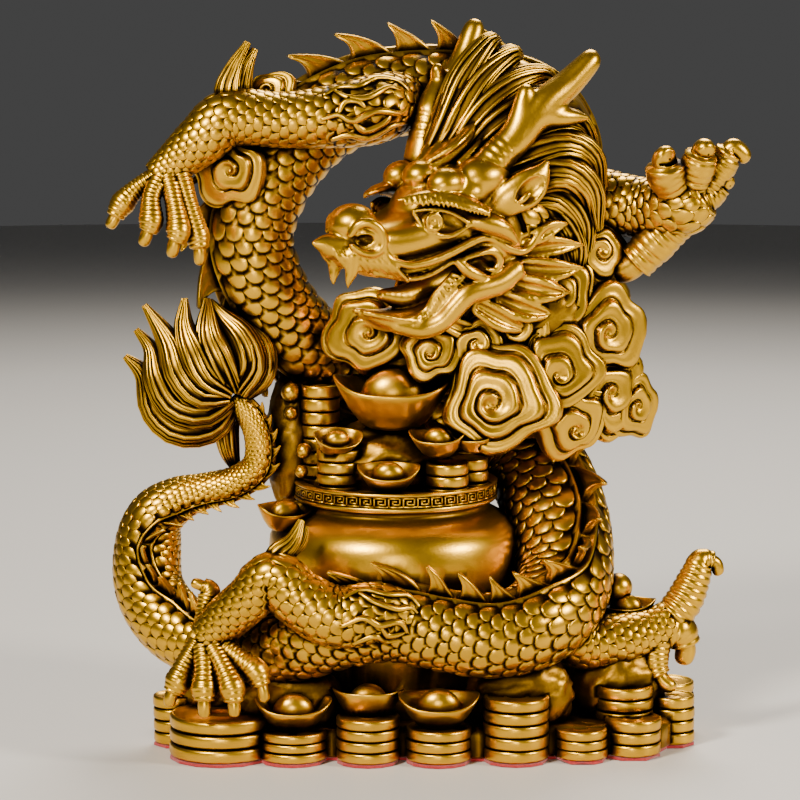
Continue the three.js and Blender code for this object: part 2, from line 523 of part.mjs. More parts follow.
// The pot: foot, belly, waist, banded rim and the flat of its mouth.
function pot() {
  const band = POT_RIM_TOP - POT_BAND_HEIGHT;
  const profile = [
    [0, POT_FOOT_Z],
    [POT_FOOT_RADIUS, POT_FOOT_Z],
    [POT_BELLY_RADIUS - 6, POT_BELLY_Z - 26],
    [POT_BELLY_RADIUS, POT_BELLY_Z],
    [POT_BELLY_RADIUS - 3, band - 12],
    [POT_RIM_RADIUS - 3, band - 4],
    [POT_RIM_RADIUS, band],
    [POT_RIM_RADIUS, POT_RIM_TOP],
    [0, POT_RIM_TOP],
  ].map(([x, y]) => new THREE.Vector2(x, y));
  return solid(new THREE.LatheGeometry(profile, 22).rotateX(Math.PI / 2).translate(...POT_CENTRE, 0));
}

function treasure() {
  return [...INGOTS.map(ingot), ...STACKS.map(stack), ...PEARLS.map(([x, y, z, r]) => egg([x, y, z], [r, r, r], 7, 5))];
}

// The base's outline: a rounded oblong with a slow wave, drawn in by the inset.
function baseShape(inset) {
  const points = [];
  for (let i = 0; i < BASE_POINTS; i++) {
    const a = (i / BASE_POINTS) * 2 * Math.PI;
    const [c, s] = [Math.cos(a), Math.sin(a)];
    const square = (Math.abs(c) ** BASE_SQUARENESS + Math.abs(s) ** BASE_SQUARENESS) ** (-1 / BASE_SQUARENESS);
    const out = BASE_WAVE * Math.cos(BASE_WAVES * a) - inset;
    points.push(new THREE.Vector2(
      BASE_CENTRE[0] + c * square * (BASE_HALF[0] + out),
      BASE_CENTRE[1] + s * square * (BASE_HALF[1] + out),
    ));
  }
  return new THREE.Shape(points);
}

function base() {
  const slab = new THREE.ExtrudeGeometry(baseShape(0), { depth: BASE_TOP - FOOT, bevelEnabled: false }).translate(0, 0, FOOT);
  return [solid(slab), ...PILLARS.map(({ at, size }) => egg(at, size, 8, 6))];
}

// The felt: a thin sheet under the base and every stack that stands on it.
function pad() {
  const sheet = { depth: PAD_THICK, bevelEnabled: false };
  const parts = [solid(new THREE.ExtrudeGeometry(baseShape(1), sheet))];
  STACKS.filter(({ from }) => from === FOOT).forEach(({ at, r }) => {
    parts.push(solid(new THREE.CylinderGeometry(r, r, PAD_THICK, 14).rotateX(Math.PI / 2).translate(...at, PAD_THICK / 2)));
  });
  return thinned(wasm.Manifold.union(parts), PAD_FACETS);
}

// The cast pieces, by name. Each gives way to the ones before it by the width of a seam.
function castings() {
  const groups = {
    dragon_casting: [...body(SHOULDER_CUT[1], HIP_CUT), ...leg(LIMBS.lowerRight), ...clouds(), pot(), ...treasure(), ...base()],
    dragon_hind_leg: [...leg(LIMBS.lowerLeft), limb(KNEE_TUFT, 6, 1, 0.6)],
    dragon_tail: [...body(HIP_CUT, SPINE.length - 1), ...tailFan()],
    dragon_forepart: [
      ...body(...SHOULDER_CUT), ...leg(LIMBS.upperLeft), ...leg(LIMBS.upperRight), limb(ELBOW_TUFT, 6, 1, 0.6),
      ...FORE_CLOUDS.map(cloud),
    ],
    dragon_head: [...head(), ...mane()],
  };
  const ground = solid(new THREE.BoxGeometry(400, 300, 60).translate(0, 0, FOOT - 30));
  const before = [];
  return Object.entries(groups).map(([name, parts]) => {
    let made = thinned(wasm.Manifold.union(parts).subtract(ground), FACETS[name]);
    before.forEach((other) => {
      made = made.subtract(other);
    });
    made = thinned(mainBody(made), 0, SLIVER);
    before.push(swollen(made));
    return [name, made];
  });
}

// A shape grown by the width of a seam: its copies shifted all round, joined.
function swollen(made) {
  const ways = [];
  for (let i = 0; i < 27; i++) {
    const way = new THREE.Vector3((i % 3) - 1, (Math.floor(i / 3) % 3) - 1, Math.floor(i / 9) - 1);
    if (way.lengthSq() !== 2 && way.lengthSq() > 0) ways.push(way.setLength(SEAM));
  }
  return wasm.Manifold.union([made, ...ways.map((way) => solid(geometryOf(made).translate(...way)))]);
}

// The largest body of a shape, without the slivers that a cut leaves beside it.
function mainBody(made) {
  const { vertProperties, triVerts } = made.getMesh();
  const root = Array.from({ length: vertProperties.length / 3 }, (_, i) => i);
  const find = (v) => {
    let top = v;
    while (root[top] !== top) top = root[top];
    root[v] = top;
    return top;
  };
  for (let i = 0; i < triVerts.length; i += 3) {
    root[find(triVerts[i])] = find(triVerts[i + 1]);
    root[find(triVerts[i + 2])] = find(triVerts[i + 1]);
  }
  const counts = new Map();
  triVerts.forEach((v) => counts.set(find(v), (counts.get(find(v)) ?? 0) + 1));
  const largest = [...counts].sort((a, b) => b[1] - a[1])[0][0];
  const corners = [];
  triVerts.forEach((v) => {
    if (find(v) === largest) corners.push(...vertProperties.slice(v * 3, v * 3 + 3));
  });
  return solid(new THREE.BufferGeometry().setAttribute("position", new THREE.Float32BufferAttribute(corners, 3)));
}

// The squared distance to a set of planes, as the ten numbers of a symmetric matrix, added up corner by corner.
function planeSum(sum, n, d, weight) {
  const row = [n.x, n.y, n.z, d];
  let k = 0;
  for (let i = 0; i < 4; i++) {
    for (let j = i; j < 4; j++) sum[k++] += weight * row[i] * row[j];
  }
}

function strayFrom(sum, p) {
  const row = [p.x, p.y, p.z, 1];
  let k = 0;
  let total = 0;
  for (let i = 0; i < 4; i++) {
    for (let j = i; j < 4; j++) total += (i === j ? 1 : 2) * sum[k++] * row[i] * row[j];
  }
  return total;
}

// The joined surface with fewer facets: edges whose loss changes it least are drawn in first, until the count is met.
// A corner only ever moves onto its neighbour, and never where a facet would turn over or the surface would pinch.
// With a worst loss given, it stops there instead.
function thinned(made, most, worst = 1e6) {
  const mesh = made.getMesh();
  const place = [];
  for (let i = 0; i < mesh.vertProperties.length; i += 3) {
    place.push(new THREE.Vector3(...mesh.vertProperties.slice(i, i + 3)));
  }
  const faces = [];
  const around = place.map(() => new Set());
  const sums = place.map(() => new Float64Array(10));
  const triangle = new THREE.Triangle();
  const normal = new THREE.Vector3();
  const normalOf = (a, b, c) => triangle.set(a, b, c).getNormal(normal);
  for (let i = 0; i < mesh.triVerts.length; i += 3) {
    const face = Array.from(mesh.triVerts.slice(i, i + 3));
    const [a, b, c] = face.map((v) => place[v]);
    normalOf(a, b, c);
    const weight = triangle.getArea();
    face.forEach((v) => {
      around[v].add(faces.length);
      planeSum(sums[v], normal, -normal.dot(a), weight);
    });
    faces.push(face);
  }
  const near = (v) => new Set([...around[v]].flatMap((f) => faces[f]).filter((w) => w !== v));
  const cost = (from, to) => strayFrom(sums[from], place[to]) + 1e-4 * place[from].distanceToSquared(place[to]);
  const keeps = (from, to) => {
    const shared = [...near(from)].filter((w) => near(to).has(w));
    if (shared.length !== 2) return false;
    for (const f of around[from]) {
      if (faces[f].includes(to)) continue;
      const before = normalOf(...faces[f].map((v) => place[v])).clone();
      const after = normalOf(...faces[f].map((v) => place[v === from ? to : v]));
      const slim = triangle.getArea() < SLIMMEST * Math.max(...[0, 1, 2].map((k) => sideOf(triangle, k))) ** 2;
      if (slim || before.dot(after) < 0.3) return false;
    }
    return true;
  };
  let left = faces.length;
  let limit = 0.02;
  while (left > most) {
    const moves = [];
    around.forEach((set, from) => {
      if (!set.size) return;
      for (const to of near(from)) {
        const c = cost(from, to);
        if (c < limit) moves.push([c, from, to]);
      }
    });
    moves.sort((a, b) => a[0] - b[0]);
    const used = new Set();
    let drawn = 0;
    for (const [, from, to] of moves) {
      if (left <= most) break;
      if (used.has(from) || used.has(to) || !keeps(from, to)) continue;
      near(from).forEach((v) => used.add(v));
      used.add(from);
      for (const f of [...around[from]]) {
        if (faces[f].includes(to)) {
          faces[f].forEach((v) => around[v].delete(f));
          faces[f] = null;
          left--;
        } else {
          faces[f] = faces[f].map((v) => (v === from ? to : v));
          around[to].add(f);
        }
      }
      around[from].clear();
      sums[from].forEach((value, k) => (sums[to][k] += value));
      drawn++;
    }
    if (drawn < 20) {
      if (limit >= worst) break;
      limit = Math.min(limit * 1.6, worst);
    }
  }
  const corners = faces.filter(Boolean).flatMap((face) => face.flatMap((v) => place[v].toArray()));
  return solid(new THREE.BufferGeometry().setAttribute("position", new THREE.Float32BufferAttribute(corners, 3)));
}

function sideOf(triangle, k) {
  const corners = [triangle.a, triangle.b, triangle.c];
  return corners[k].distanceTo(corners[(k + 1) % 3]);
}

function piece(name, made, material) {
  const mesh = new THREE.Mesh(geometryOf(made), material);
  mesh.name = name;
  return mesh;
}

// The pieces are shifted so that the origin is under the middle of the whole object.
const dragon = new THREE.Group();
castings().forEach(([name, made]) => dragon.add(piece(name, made, brass)));
dragon.add(piece("felt_pad", pad(), felt));
dragon.children.forEach((mesh) => mesh.position.set(...TO_CENTRE));

export default dragon;
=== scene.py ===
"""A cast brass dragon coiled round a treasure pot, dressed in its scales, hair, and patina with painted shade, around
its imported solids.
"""

import logging
import math
from dataclasses import dataclass, field
from enum import Enum
from typing import Callable, Sequence

import bpy
import numpy as np
import openvdb
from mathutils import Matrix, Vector


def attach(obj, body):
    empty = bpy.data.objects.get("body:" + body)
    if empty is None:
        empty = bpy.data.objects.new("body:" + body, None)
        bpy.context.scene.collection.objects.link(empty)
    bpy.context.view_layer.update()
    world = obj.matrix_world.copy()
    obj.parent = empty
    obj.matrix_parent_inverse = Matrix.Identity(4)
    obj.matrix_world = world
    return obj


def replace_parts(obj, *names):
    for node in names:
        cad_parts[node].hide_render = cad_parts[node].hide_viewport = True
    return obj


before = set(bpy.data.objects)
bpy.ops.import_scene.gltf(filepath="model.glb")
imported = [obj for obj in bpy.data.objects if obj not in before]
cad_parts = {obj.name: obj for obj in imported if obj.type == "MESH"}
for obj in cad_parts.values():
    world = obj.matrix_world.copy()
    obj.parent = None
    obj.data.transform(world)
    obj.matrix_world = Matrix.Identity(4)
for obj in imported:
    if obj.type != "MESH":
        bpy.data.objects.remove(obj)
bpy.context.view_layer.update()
log = logging.getLogger("dragon")

MM = 0.001
# What is added to a place of the drawing, in millimetres, to bring it about the middle of the solids' box.
TO_CENTRE = np.array([-0.5, 3.55, 0.0])
# The height of the lowest brass, in millimetres.
FOOT = 1.5
TURN = 2 * math.pi
# The distance between the points of a path, in local radii, and the least radius of one, in millimetres.
PATH_STEP = 0.05
THINNEST = 0.4


def in_metres(points: Sequence[float] | np.ndarray) -> np.ndarray:
    """Places of the drawing, in millimetres, as metres about the middle of the solids' box."""
    return (np.asarray(points) + TO_CENTRE) * MM


# Values and nodes


class Value:
    """A socket of a node that can stand in a sum."""

    def __init__(self, graph: "Graph", socket: bpy.types.NodeSocket) -> None:
        """Keeps the graph and the socket."""
        self.graph = graph
        self.socket = socket

    def _math(self, operation: str, first: "Value | float", second: "Value | float" = 0.0) -> "Value":
        """One Math node, or a Vector Math node where a value is a vector.

        Args:
            operation: the node's operation.
            first: its first value.
            second: its second value.

        Returns:
            The node's result.
        """
        vector = any(isinstance(v, Value) and v.socket.type == "VECTOR" for v in (first, second))
        if not vector:
            return self.graph.add("ShaderNodeMath", {"operation": operation}, {0: first, 1: second})[0]
        if operation == "MULTIPLY":
            scale, body = (second, first) if first.socket.type == "VECTOR" else (first, second)
            if not (isinstance(scale, Value) and scale.socket.type == "VECTOR"):
                return self.graph.add("ShaderNodeVectorMath", {"operation": "SCALE"}, {0: body, 3: scale})[0]
        return self.graph.add("ShaderNodeVectorMath", {"operation": operation}, {0: first, 1: second})[0]

    def __add__(self, other: "Value | float") -> "Value":
        """This plus the other."""
        return self._math("ADD", self, other)

    def __radd__(self, other: float) -> "Value":
        """The other plus this."""
        return self._math("ADD", other, self)

    def __sub__(self, other: "Value | float") -> "Value":
        """This minus the other."""
        return self._math("SUBTRACT", self, other)

    def __rsub__(self, other: float) -> "Value":
        """The other minus this."""
        return self._math("SUBTRACT", other, self)

    def __mul__(self, other: "Value | float") -> "Value":
        """This times the other."""
        return self._math("MULTIPLY", self, other)

    def __rmul__(self, other: float) -> "Value":
        """The other times this."""
        return self._math("MULTIPLY", self, other)

    def __truediv__(self, other: "Value | float") -> "Value":
        """This over the other."""
        return self._math("DIVIDE", self, other)

    def apply(self, operation: str, other: "Value | float" = 0.0) -> "Value":
        """Any other operation of the Math node, such as COSINE."""
        return self._math(operation, self, other)


class Made:
    """A node that was added, whose outputs are read by number or by name."""

    def __init__(self, graph: "Graph", node: bpy.types.Node) -> None:
        """Keeps the graph and the node."""
        self.graph = graph
        self.node = node

    def __getitem__(self, key: int | str) -> Value:
        """The output of that number or name."""
        return Value(self.graph, self.node.outputs[key])


class Graph:
    """A node tree that is written as expressions."""

    def __init__(self, tree: bpy.types.NodeTree) -> None:
        """Keeps the tree."""
        self.tree = tree

    def add(self, kind: str, settings: dict | None = None, sockets: dict | None = None) -> Made:
        """Adds a node.

        Args:
            kind: the node's type.
            settings: what is set on the node first; stops are the colours of a ramp.
            sockets: a value or a link for each input, by number or by name.

        Returns:
            The node.
        """
        node = self.tree.nodes.new(kind)
        for name, value in (settings or {}).items():
            if name == "stops":
                ramp = node.color_ramp.elements
                while len(ramp) < len(value):
                    ramp.new(0.5)
                for stop, (place, colour) in zip(ramp, value):
                    stop.position = place
                    stop.color = (*colour, 1.0)
            else:
                setattr(node, name, value)
        for key, value in (sockets or {}).items():
            if isinstance(value, Value):
                self.tree.links.new(value.socket, node.inputs[key])
            else:
                node.inputs[key].default_value = value
        return Made(self, node)


@dataclass(frozen=True)
class Knob:
    """A named input of a geometry tree."""

    name: str
    kind: str
    start: object = None


class Recipe:
    """A Geometry Nodes tree with named inputs, built once and used on many meshes."""

    def __init__(self, name: str, knobs: Sequence[Knob], build: Callable[[Graph, Made], Value]) -> None:
        """Builds the tree.

        Args:
            name: the tree's name.
            knobs: its inputs beside the geometry.
            build: makes the nodes and returns the geometry; its Made holds the inputs.
        """
        self.tree = bpy.data.node_groups.new(name, "GeometryNodeTree")
        face = self.tree.interface
        face.new_socket("Geometry", in_out="INPUT", socket_type="NodeSocketGeometry")
        face.new_socket("Geometry", in_out="OUTPUT", socket_type="NodeSocketGeometry")
        self.keys = {}
        for knob in knobs:
            socket = face.new_socket(knob.name, in_out="INPUT", socket_type=f"NodeSocket{knob.kind}")
            if knob.start is not None:
                socket.default_value = knob.start
            self.keys[knob.name] = socket.identifier
        graph = Graph(self.tree)
        result = build(graph, graph.add("NodeGroupInput"))
        out = graph.add("NodeGroupOutput")
        self.tree.links.new(result.socket, out.node.inputs[0])

    def cook(self, source: bpy.types.Object, **values: object) -> bpy.types.Object:
        """Runs the tree on a mesh and puts the plain result in place of it.

        Args:
            source: the object that the tree starts from; it is used up.
            values: the tree's inputs by name, with _ for a space.

        Returns:
            A new plain mesh object of the same name.
        """
        modifier = source.modifiers.new("recipe", "NODES")
        modifier.node_group = self.tree
        for name, value in values.items():
            modifier[self.keys[name.replace("_", " ")]] = value
        bpy.context.view_layer.update()
        graph = bpy.context.evaluated_depsgraph_get()
        mesh = bpy.data.meshes.new_from_object(source.evaluated_get(graph), depsgraph=graph)
        name = source.name
        bpy.data.objects.remove(source)
        made = bpy.data.objects.new(name, mesh)
        bpy.context.scene.collection.objects.link(made)
        return made


# Shapes


@dataclass
class Shape:
    """Points, in millimetres or in shares of a path, and the faces between them."""

    points: np.ndarray
    faces: list[list[int]]

    @staticmethod
    def joined(shapes: Sequence["Shape"]) -> "Shape":
        """All the shapes as one."""
        points, faces, count = [], [], 0
        for shape in shapes:
            points.append(shape.points)
            faces.extend([[v + count for v in face] for face in shape.faces])
            count += len(shape.points)
        return Shape(np.concatenate(points), faces)

    def outward(self, sign: float = 1.0) -> "Shape":
        """The same closed shape with its faces outward, or inward where the sign is negative."""
        volume = 0.0
        for face in self.faces:
            a, b = self.points[face[0]], self.points[face[1:]]
            volume += float((np.cross(b[:-1], b[1:]) @ a).sum())
        faces = self.faces if volume * sign > 0 else [face[::-1] for face in self.faces]
        return Shape(self.points, faces)

    def at(self, centre: Sequence[float], turn: np.ndarray | None = None) -> "Shape":
        """The shape turned by a 3 by 3 matrix and moved to a centre."""
        points = self.points if turn is None else self.points @ turn.T
        return Shape(points + np.asarray(centre), self.faces)

    def piece(self, name: str, template: bool = False) -> bpy.types.Object:
        """A Blender object of the shape.

        Args:
            name: the object's name.
            template: keeps the numbers as they are, for a shape that a recipe lays along a path.

        Returns:
            The object, at the origin.
        """
        points = self.points if template else in_metres(self.points)
        mesh = bpy.data.meshes.new(name)
        mesh.from_pydata(points.tolist(), [], self.faces)
        mesh.polygons.foreach_set("use_smooth", [True] * len(mesh.polygons))
        mesh.update()
        made = bpy.data.objects.new(name, mesh)
        bpy.context.scene.collection.objects.link(made)
        return made


def sheet_faces(rows: int, columns: int, ring: bool = True, flip: bool = False) -> list[list[int]]:
    """The quads of a grid of points.

    Args:
        rows: rows of points.
        columns: points in each row.
        ring: joins each row's last point to its first.
        flip: turns the faces round.

    Returns:
        The faces.
    """
    i = np.arange(rows - 1)[:, None] * columns
    j = np.arange(columns if ring else columns - 1)[None, :]
    k = (j + 1) % columns
    quads = np.stack([i + j, i + k, i + columns + k, i + columns + j], axis=-1).reshape(-1, 4)
    return (quads[:, ::-1] if flip else quads).tolist()


def capped(rows: np.ndarray, flip: bool = False) -> Shape:
    """A closed skin over rings of points, each end drawn in to its own middle.

    Args:
        rows: rings of points, one after another.
        flip: turns the faces round.

    Returns:
        The closed shape.
    """
    count, around = rows.shape[:2]
    points = np.concatenate([rows.reshape(-1, 3), rows[0].mean(0)[None], rows[-1].mean(0)[None]])
    faces = sheet_faces(count, around, True, flip)
    low, high = count * around, count * around + 1
    last = (count - 1) * around
    for j in range(around):
        k = (j + 1) % around
        ends = [[low, k, j], [high, last + j, last + k]]
        faces.extend([face[::-1] for face in ends] if flip else ends)
    return Shape(points, faces)


def turned(profile: Sequence[tuple[float, float]], sides: int) -> Shape:
    """A lathed shape about Z, from the bottom of its axis to the top.

    Args:
        profile: pairs of radius and height, without the points on the axis.
        sides: points round it.

    Returns:
        The closed shape.
    """
    angle = np.arange(sides) / sides * TURN
    r, z = np.array(profile).T
    rows = np.stack([np.outer(r, np.cos(angle)), np.outer(r, np.sin(angle)), np.repeat(z[:, None], sides, 1)], -1)
    return capped(rows)


def unit(v: Sequence[float] | np.ndarray) -> np.ndarray:
    """The vectors at length one."""
    v = np.asarray(v, float)
    return v / np.maximum(np.linalg.norm(v, axis=-1, keepdims=True), 1e-9)


def smooth_line(rows: np.ndarray, per_span: int) -> np.ndarray:
    """Numbers read along a smooth line through rows of them, as a Catmull-Rom curve."""
    rows = np.asarray(rows, float)
    ends = np.concatenate([[2 * rows[0] - rows[1]], rows, [2 * rows[-1] - rows[-2]]])
    t = np.linspace(0, 1, per_span, endpoint=False)[:, None]
    out = []
    for a, b, c, d in zip(ends, ends[1:], ends[2:], ends[3:]):
        m, n = (c - a) / 2, (d - b) / 2
        out.append(b + m * t + (3 * (c - b) - 2 * m - n) * t**2 + (2 * (b - c) + m + n) * t**3)
    return np.concatenate([*out, [rows[-1]]])


def facing(normal: Sequence[float], spin: float = 0.0) -> np.ndarray:
    """A turn that takes Z to a normal, with X kept level, after a spin about Z."""
    z = unit(normal)
    x = unit(np.cross([0, 0, 1] if abs(z[2]) < 0.95 else [0, 1, 0], z))
    y = np.cross(z, x)
    c, s = math.cos(spin), math.sin(spin)
    return np.stack([x, y, z], 1) @ np.array([[c, -s, 0], [s, c, 0], [0, 0, 1]])


def bump(x: np.ndarray, centre: float, width: float) -> np.ndarray:
    """A smooth hump of height one."""
    return np.exp(-(((x - centre) / width) ** 2))


def smooth(x: np.ndarray, low: float, high: float) -> np.ndarray:
    """Goes from 0 to 1 between two values, with soft ends."""
    t = np.clip((x - low) / (high - low), 0, 1)
    return t * t * (3 - 2 * t)


def rough(points: np.ndarray, size: float, seed: int) -> np.ndarray:
    """Soft noise between about -1 and 1 from a few turned waves.

    Args:
        points: places in millimetres.
        size: the length of the waves.
        seed: picks their directions.

    Returns:
        One value a point.
    """
    dice = np.random.default_rng(seed)
    total = np.zeros(len(points))
    for k in range(7):
        way = unit(dice.normal(size=3)) * TURN / (size * (0.6 + 0.2 * k))
        total += np.sin(points @ way + dice.uniform(0, TURN))
    return total / 4


# Paths


@dataclass
class Path:
    """A line that a tapering body follows, cut into steps that are equal shares of its own radius."""

    centre: np.ndarray
    ridge: np.ndarray
    side: np.ndarray

    @classmethod
    def through(cls, rows: Sequence[Sequence[float]], ridges: Sequence[float]) -> "Path":
        """The path through rows of x, y, z and radius.

        Args:
            rows: the rows.
            ridges: the way its upper side faces, one for each row or one for all.

        Returns:
            The path.
        """
        rows = np.asarray(rows, float)
        faces = np.broadcast_to(np.asarray(ridges, float), (len(rows), 3))
        line = smooth_line(np.concatenate([rows, faces], 1), 40)
        place, radius = line[:, :3], np.maximum(line[:, 3], THINNEST)
        steps = np.linalg.norm(np.diff(place, axis=0), axis=1) * 2 / (radius[1:] + radius[:-1])
        share = np.concatenate([[0], np.cumsum(steps)])
        at = np.arange(0, share[-1], PATH_STEP)
        line = np.stack([np.interp(at, share, column) for column in line.T], 1)
        along = unit(np.gradient(line[:, :3], axis=0))
        up = unit(line[:, 4:7] - (line[:, 4:7] * along).sum(1)[:, None] * along)
        radius = np.maximum(line[:, 3:4], THINNEST)
        return cls(line[:, :3], up * radius, np.cross(along, up) * radius)

    @property
    def length(self) -> float:
        """The length in local radii."""
        return (len(self.centre) - 2) * PATH_STEP

    def knots(self, rows: Sequence[Sequence[float]]) -> list[float]:
        """How far along the path each of its rows lies, in local radii."""
        return [int(np.argmin(((self.centre - np.array(row[:3])) ** 2).sum(1))) * PATH_STEP for row in rows]

    def guide(self, name: str) -> bpy.types.Object:
        """The path as a hidden mesh line whose points carry its ridge and side."""
        mesh = bpy.data.meshes.new(name)
        mesh.from_pydata(in_metres(self.centre).tolist(), [], [])
        for key, values in (("ridge", self.ridge), ("side", self.side)):
            layer = mesh.attributes.new(key, "FLOAT_VECTOR", "POINT")
            layer.data.foreach_set("vector", (values * MM).ravel())
        return bpy.data.objects.new(name, mesh)


def lay_on_path(graph: Graph, geometry: Value, path: Value) -> Value:
    """Lays a shape on a path: X runs along it, Y is the angle from its ridge and Z the distance out, in radii.

    Args:
        graph: the tree.
        geometry: the shape.
        path: the path's guide object.

    Returns:
        The shape on the path.
    """
    line = graph.add("GeometryNodeObjectInfo", {"transform_space": "ORIGINAL"}, {0: path})["Geometry"]
    xyz = graph.add("ShaderNodeSeparateXYZ", None, {0: graph.add("GeometryNodeInputPosition")[0]})
    step = xyz[0] / PATH_STEP
    low = step.apply("FLOOR")
    share = step - low

    def read(source: Value) -> Value:
        """The source between the two points of the path that a place lies between."""
        ends = [
            graph.add(
                "GeometryNodeSampleIndex", {"data_type": "FLOAT_VECTOR", "clamp": True},
                {"Geometry": line, "Value": source, "Index": index},
            )[0]
            for index in (low, low + 1.0)
        ]
        return ends[0] + (ends[1] - ends[0]) * share

    named = [
        graph.add("GeometryNodeInputNamedAttribute", {"data_type": "FLOAT_VECTOR"}, {"Name": key})[0]
        for key in ("ridge", "side")
    ]
    centre = read(graph.add("GeometryNodeInputPosition")[0])
    ridge, side = (read(source) for source in named)
    out = ridge * (xyz[1].apply("COSINE") * xyz[2]) + side * (xyz[1].apply("SINE") * xyz[2])
    return graph.add("GeometryNodeSetPosition", None, {"Geometry": geometry, "Position": centre + out})[0]


def finish_tree(graph: Graph, geometry: Value, metal: Value) -> Value:
    """The last nodes of every recipe: real geometry, in its material."""
    real = graph.add("GeometryNodeRealizeInstances", None, {0: geometry})[0]
    return graph.add("GeometryNodeSetMaterial", None, {"Geometry": real, "Material": metal})[0]


class Recipes:
    """The geometry trees of this sculpture."""

    def __init__(self) -> None:
        """Builds them all."""
        self.wrap = Recipe("wrap_on_path", [Knob("Path", "Object"), Knob("Metal", "Material")], self._wrap)
        self.coat = Recipe(
            "coat_of_scales",
            [
                Knob("Path", "Object"), Knob("Metal", "Material"), Knob("First", "Float", 0.0),
                Knob("Rows", "Int", 10), Knob("Pitch", "Float", 0.25), Knob("Across", "Int", 12),
                Knob("Arc", "Float", 4.6), Knob("Middle", "Float", 0.0), Knob("Spread", "Float", 0.06),
                Knob("Seed", "Int", 3),
            ],
            self._coat,
        )
        self.stack = Recipe(
            "stack_of_coins",
            [
                Knob("Metal", "Material"), Knob("Count", "Int", 3), Knob("Pitch", "Float", 0.005),
                Knob("Place", "Vector"), Knob("Size", "Float", 0.01), Knob("Slip", "Float", 0.0003),
                Knob("Seed", "Int", 1),
            ],
            self._stack,
        )
        self.ring = Recipe(
            "band_of_keys",
            [
                Knob("Metal", "Material"), Knob("Count", "Int", 32), Knob("Radius", "Float", 0.045),
                Knob("Place", "Vector"),
            ],
            self._ring,
        )
        self.hair = Recipe("cast_hair", [Knob("Metal", "Material"), Knob("Sides", "Int", 6)], self._hair)

    @staticmethod
    def _wrap(graph: Graph, given: Made) -> Value:
        """One shape laid on a path."""
        return finish_tree(graph, lay_on_path(graph, given[0], given["Path"]), given["Metal"])

    @staticmethod
    def _coat(graph: Graph, given: Made) -> Value:
        """Rows of one small shape laid over a path, every other row set half a place across."""
        size_x = (given["Rows"] - 1.0) * given["Pitch"]
        grid = graph.add(
            "GeometryNodeMeshGrid", None,
            {"Size X": size_x, "Size Y": given["Arc"], "Vertices X": given["Rows"], "Vertices Y": given["Across"]},
        )["Mesh"]
        xyz = graph.add("ShaderNodeSeparateXYZ", None, {0: graph.add("GeometryNodeInputPosition")[0]})
        row = ((xyz[0] + size_x * 0.5) / given["Pitch"]).apply("ROUND")
        half = (row * 0.5 - (row * 0.5).apply("FLOOR")) * given["Arc"] / (given["Across"] - 1.0)
        along = xyz[0] + size_x * 0.5 + given["First"]
        place = graph.add("ShaderNodeCombineXYZ", None, {0: along, 1: xyz[1] + half + given["Middle"], 2: 1.0})[0]
        points = graph.add("GeometryNodeSetPosition", None, {"Geometry": grid, "Position": place})[0]
        grow = graph.add(
            "FunctionNodeRandomValue", {"data_type": "FLOAT"},
            {2: 1.0 - given["Spread"], 3: given["Spread"] + 1.0, "Seed": given["Seed"]},
        )[1]
        size = graph.add("ShaderNodeCombineXYZ", None, {0: grow, 1: grow, 2: 1.0})[0]
        copies = graph.add(
            "GeometryNodeInstanceOnPoints", None, {"Points": points, "Instance": given[0], "Scale": size}
        )[0]
        real = graph.add("GeometryNodeRealizeInstances", None, {0: copies})[0]
        return finish_tree(graph, lay_on_path(graph, real, given["Path"]), given["Metal"])

    @staticmethod
    def _stack(graph: Graph, given: Made) -> Value:
        """Coins one on another, each slipped and turned a little."""
        rise = graph.add("ShaderNodeCombineXYZ", None, {2: given["Pitch"]})[0]
        line = graph.add(
            "GeometryNodeMeshLine", {"mode": "OFFSET"},
            {"Count": given["Count"], "Offset": rise, "Start Location": given["Place"]},
        )[0]
        slip, spin = (
            graph.add("FunctionNodeRandomValue", {"data_type": "FLOAT_VECTOR"},
                      {0: low, 1: high, "Seed": given["Seed"]})
            for low, high in (((-1, -1, 0), (1, 1, 0)), ((0, 0, 0), (0, 0, TURN)))
        )
        moved = graph.add("GeometryNodeSetPosition", None, {"Geometry": line, "Offset": slip[0] * given["Slip"]})[0]
        size = graph.add("ShaderNodeCombineXYZ", None, {0: given["Size"], 1: given["Size"], 2: given["Pitch"]})[0]
        copies = graph.add(
            "GeometryNodeInstanceOnPoints", None,
            {"Points": moved, "Instance": given[0], "Rotation": spin[0], "Scale": size},
        )[0]
        return finish_tree(graph, copies, given["Metal"])

    @staticmethod
    def _ring(graph: Graph, given: Made) -> Value:
        """One key of the band repeated round a circle, each facing out."""
        ring = graph.add("GeometryNodeMeshCircle", None, {"Vertices": given["Count"], "Radius": given["Radius"]})[0]
        xyz = graph.add("ShaderNodeSeparateXYZ", None, {0: graph.add("GeometryNodeInputPosition")[0]})
        angle = xyz[1].apply("ARCTAN2", xyz[0])
        turn = graph.add("ShaderNodeCombineXYZ", None, {2: angle})[0]
        copies = graph.add(
            "GeometryNodeInstanceOnPoints", None, {"Points": ring, "Instance": given[0], "Rotation": turn}
        )[0]
        moved = graph.add("GeometryNodeSetPosition", None, {"Geometry": copies, "Offset": given["Place"]})[0]
        return finish_tree(graph, moved, given["Metal"])

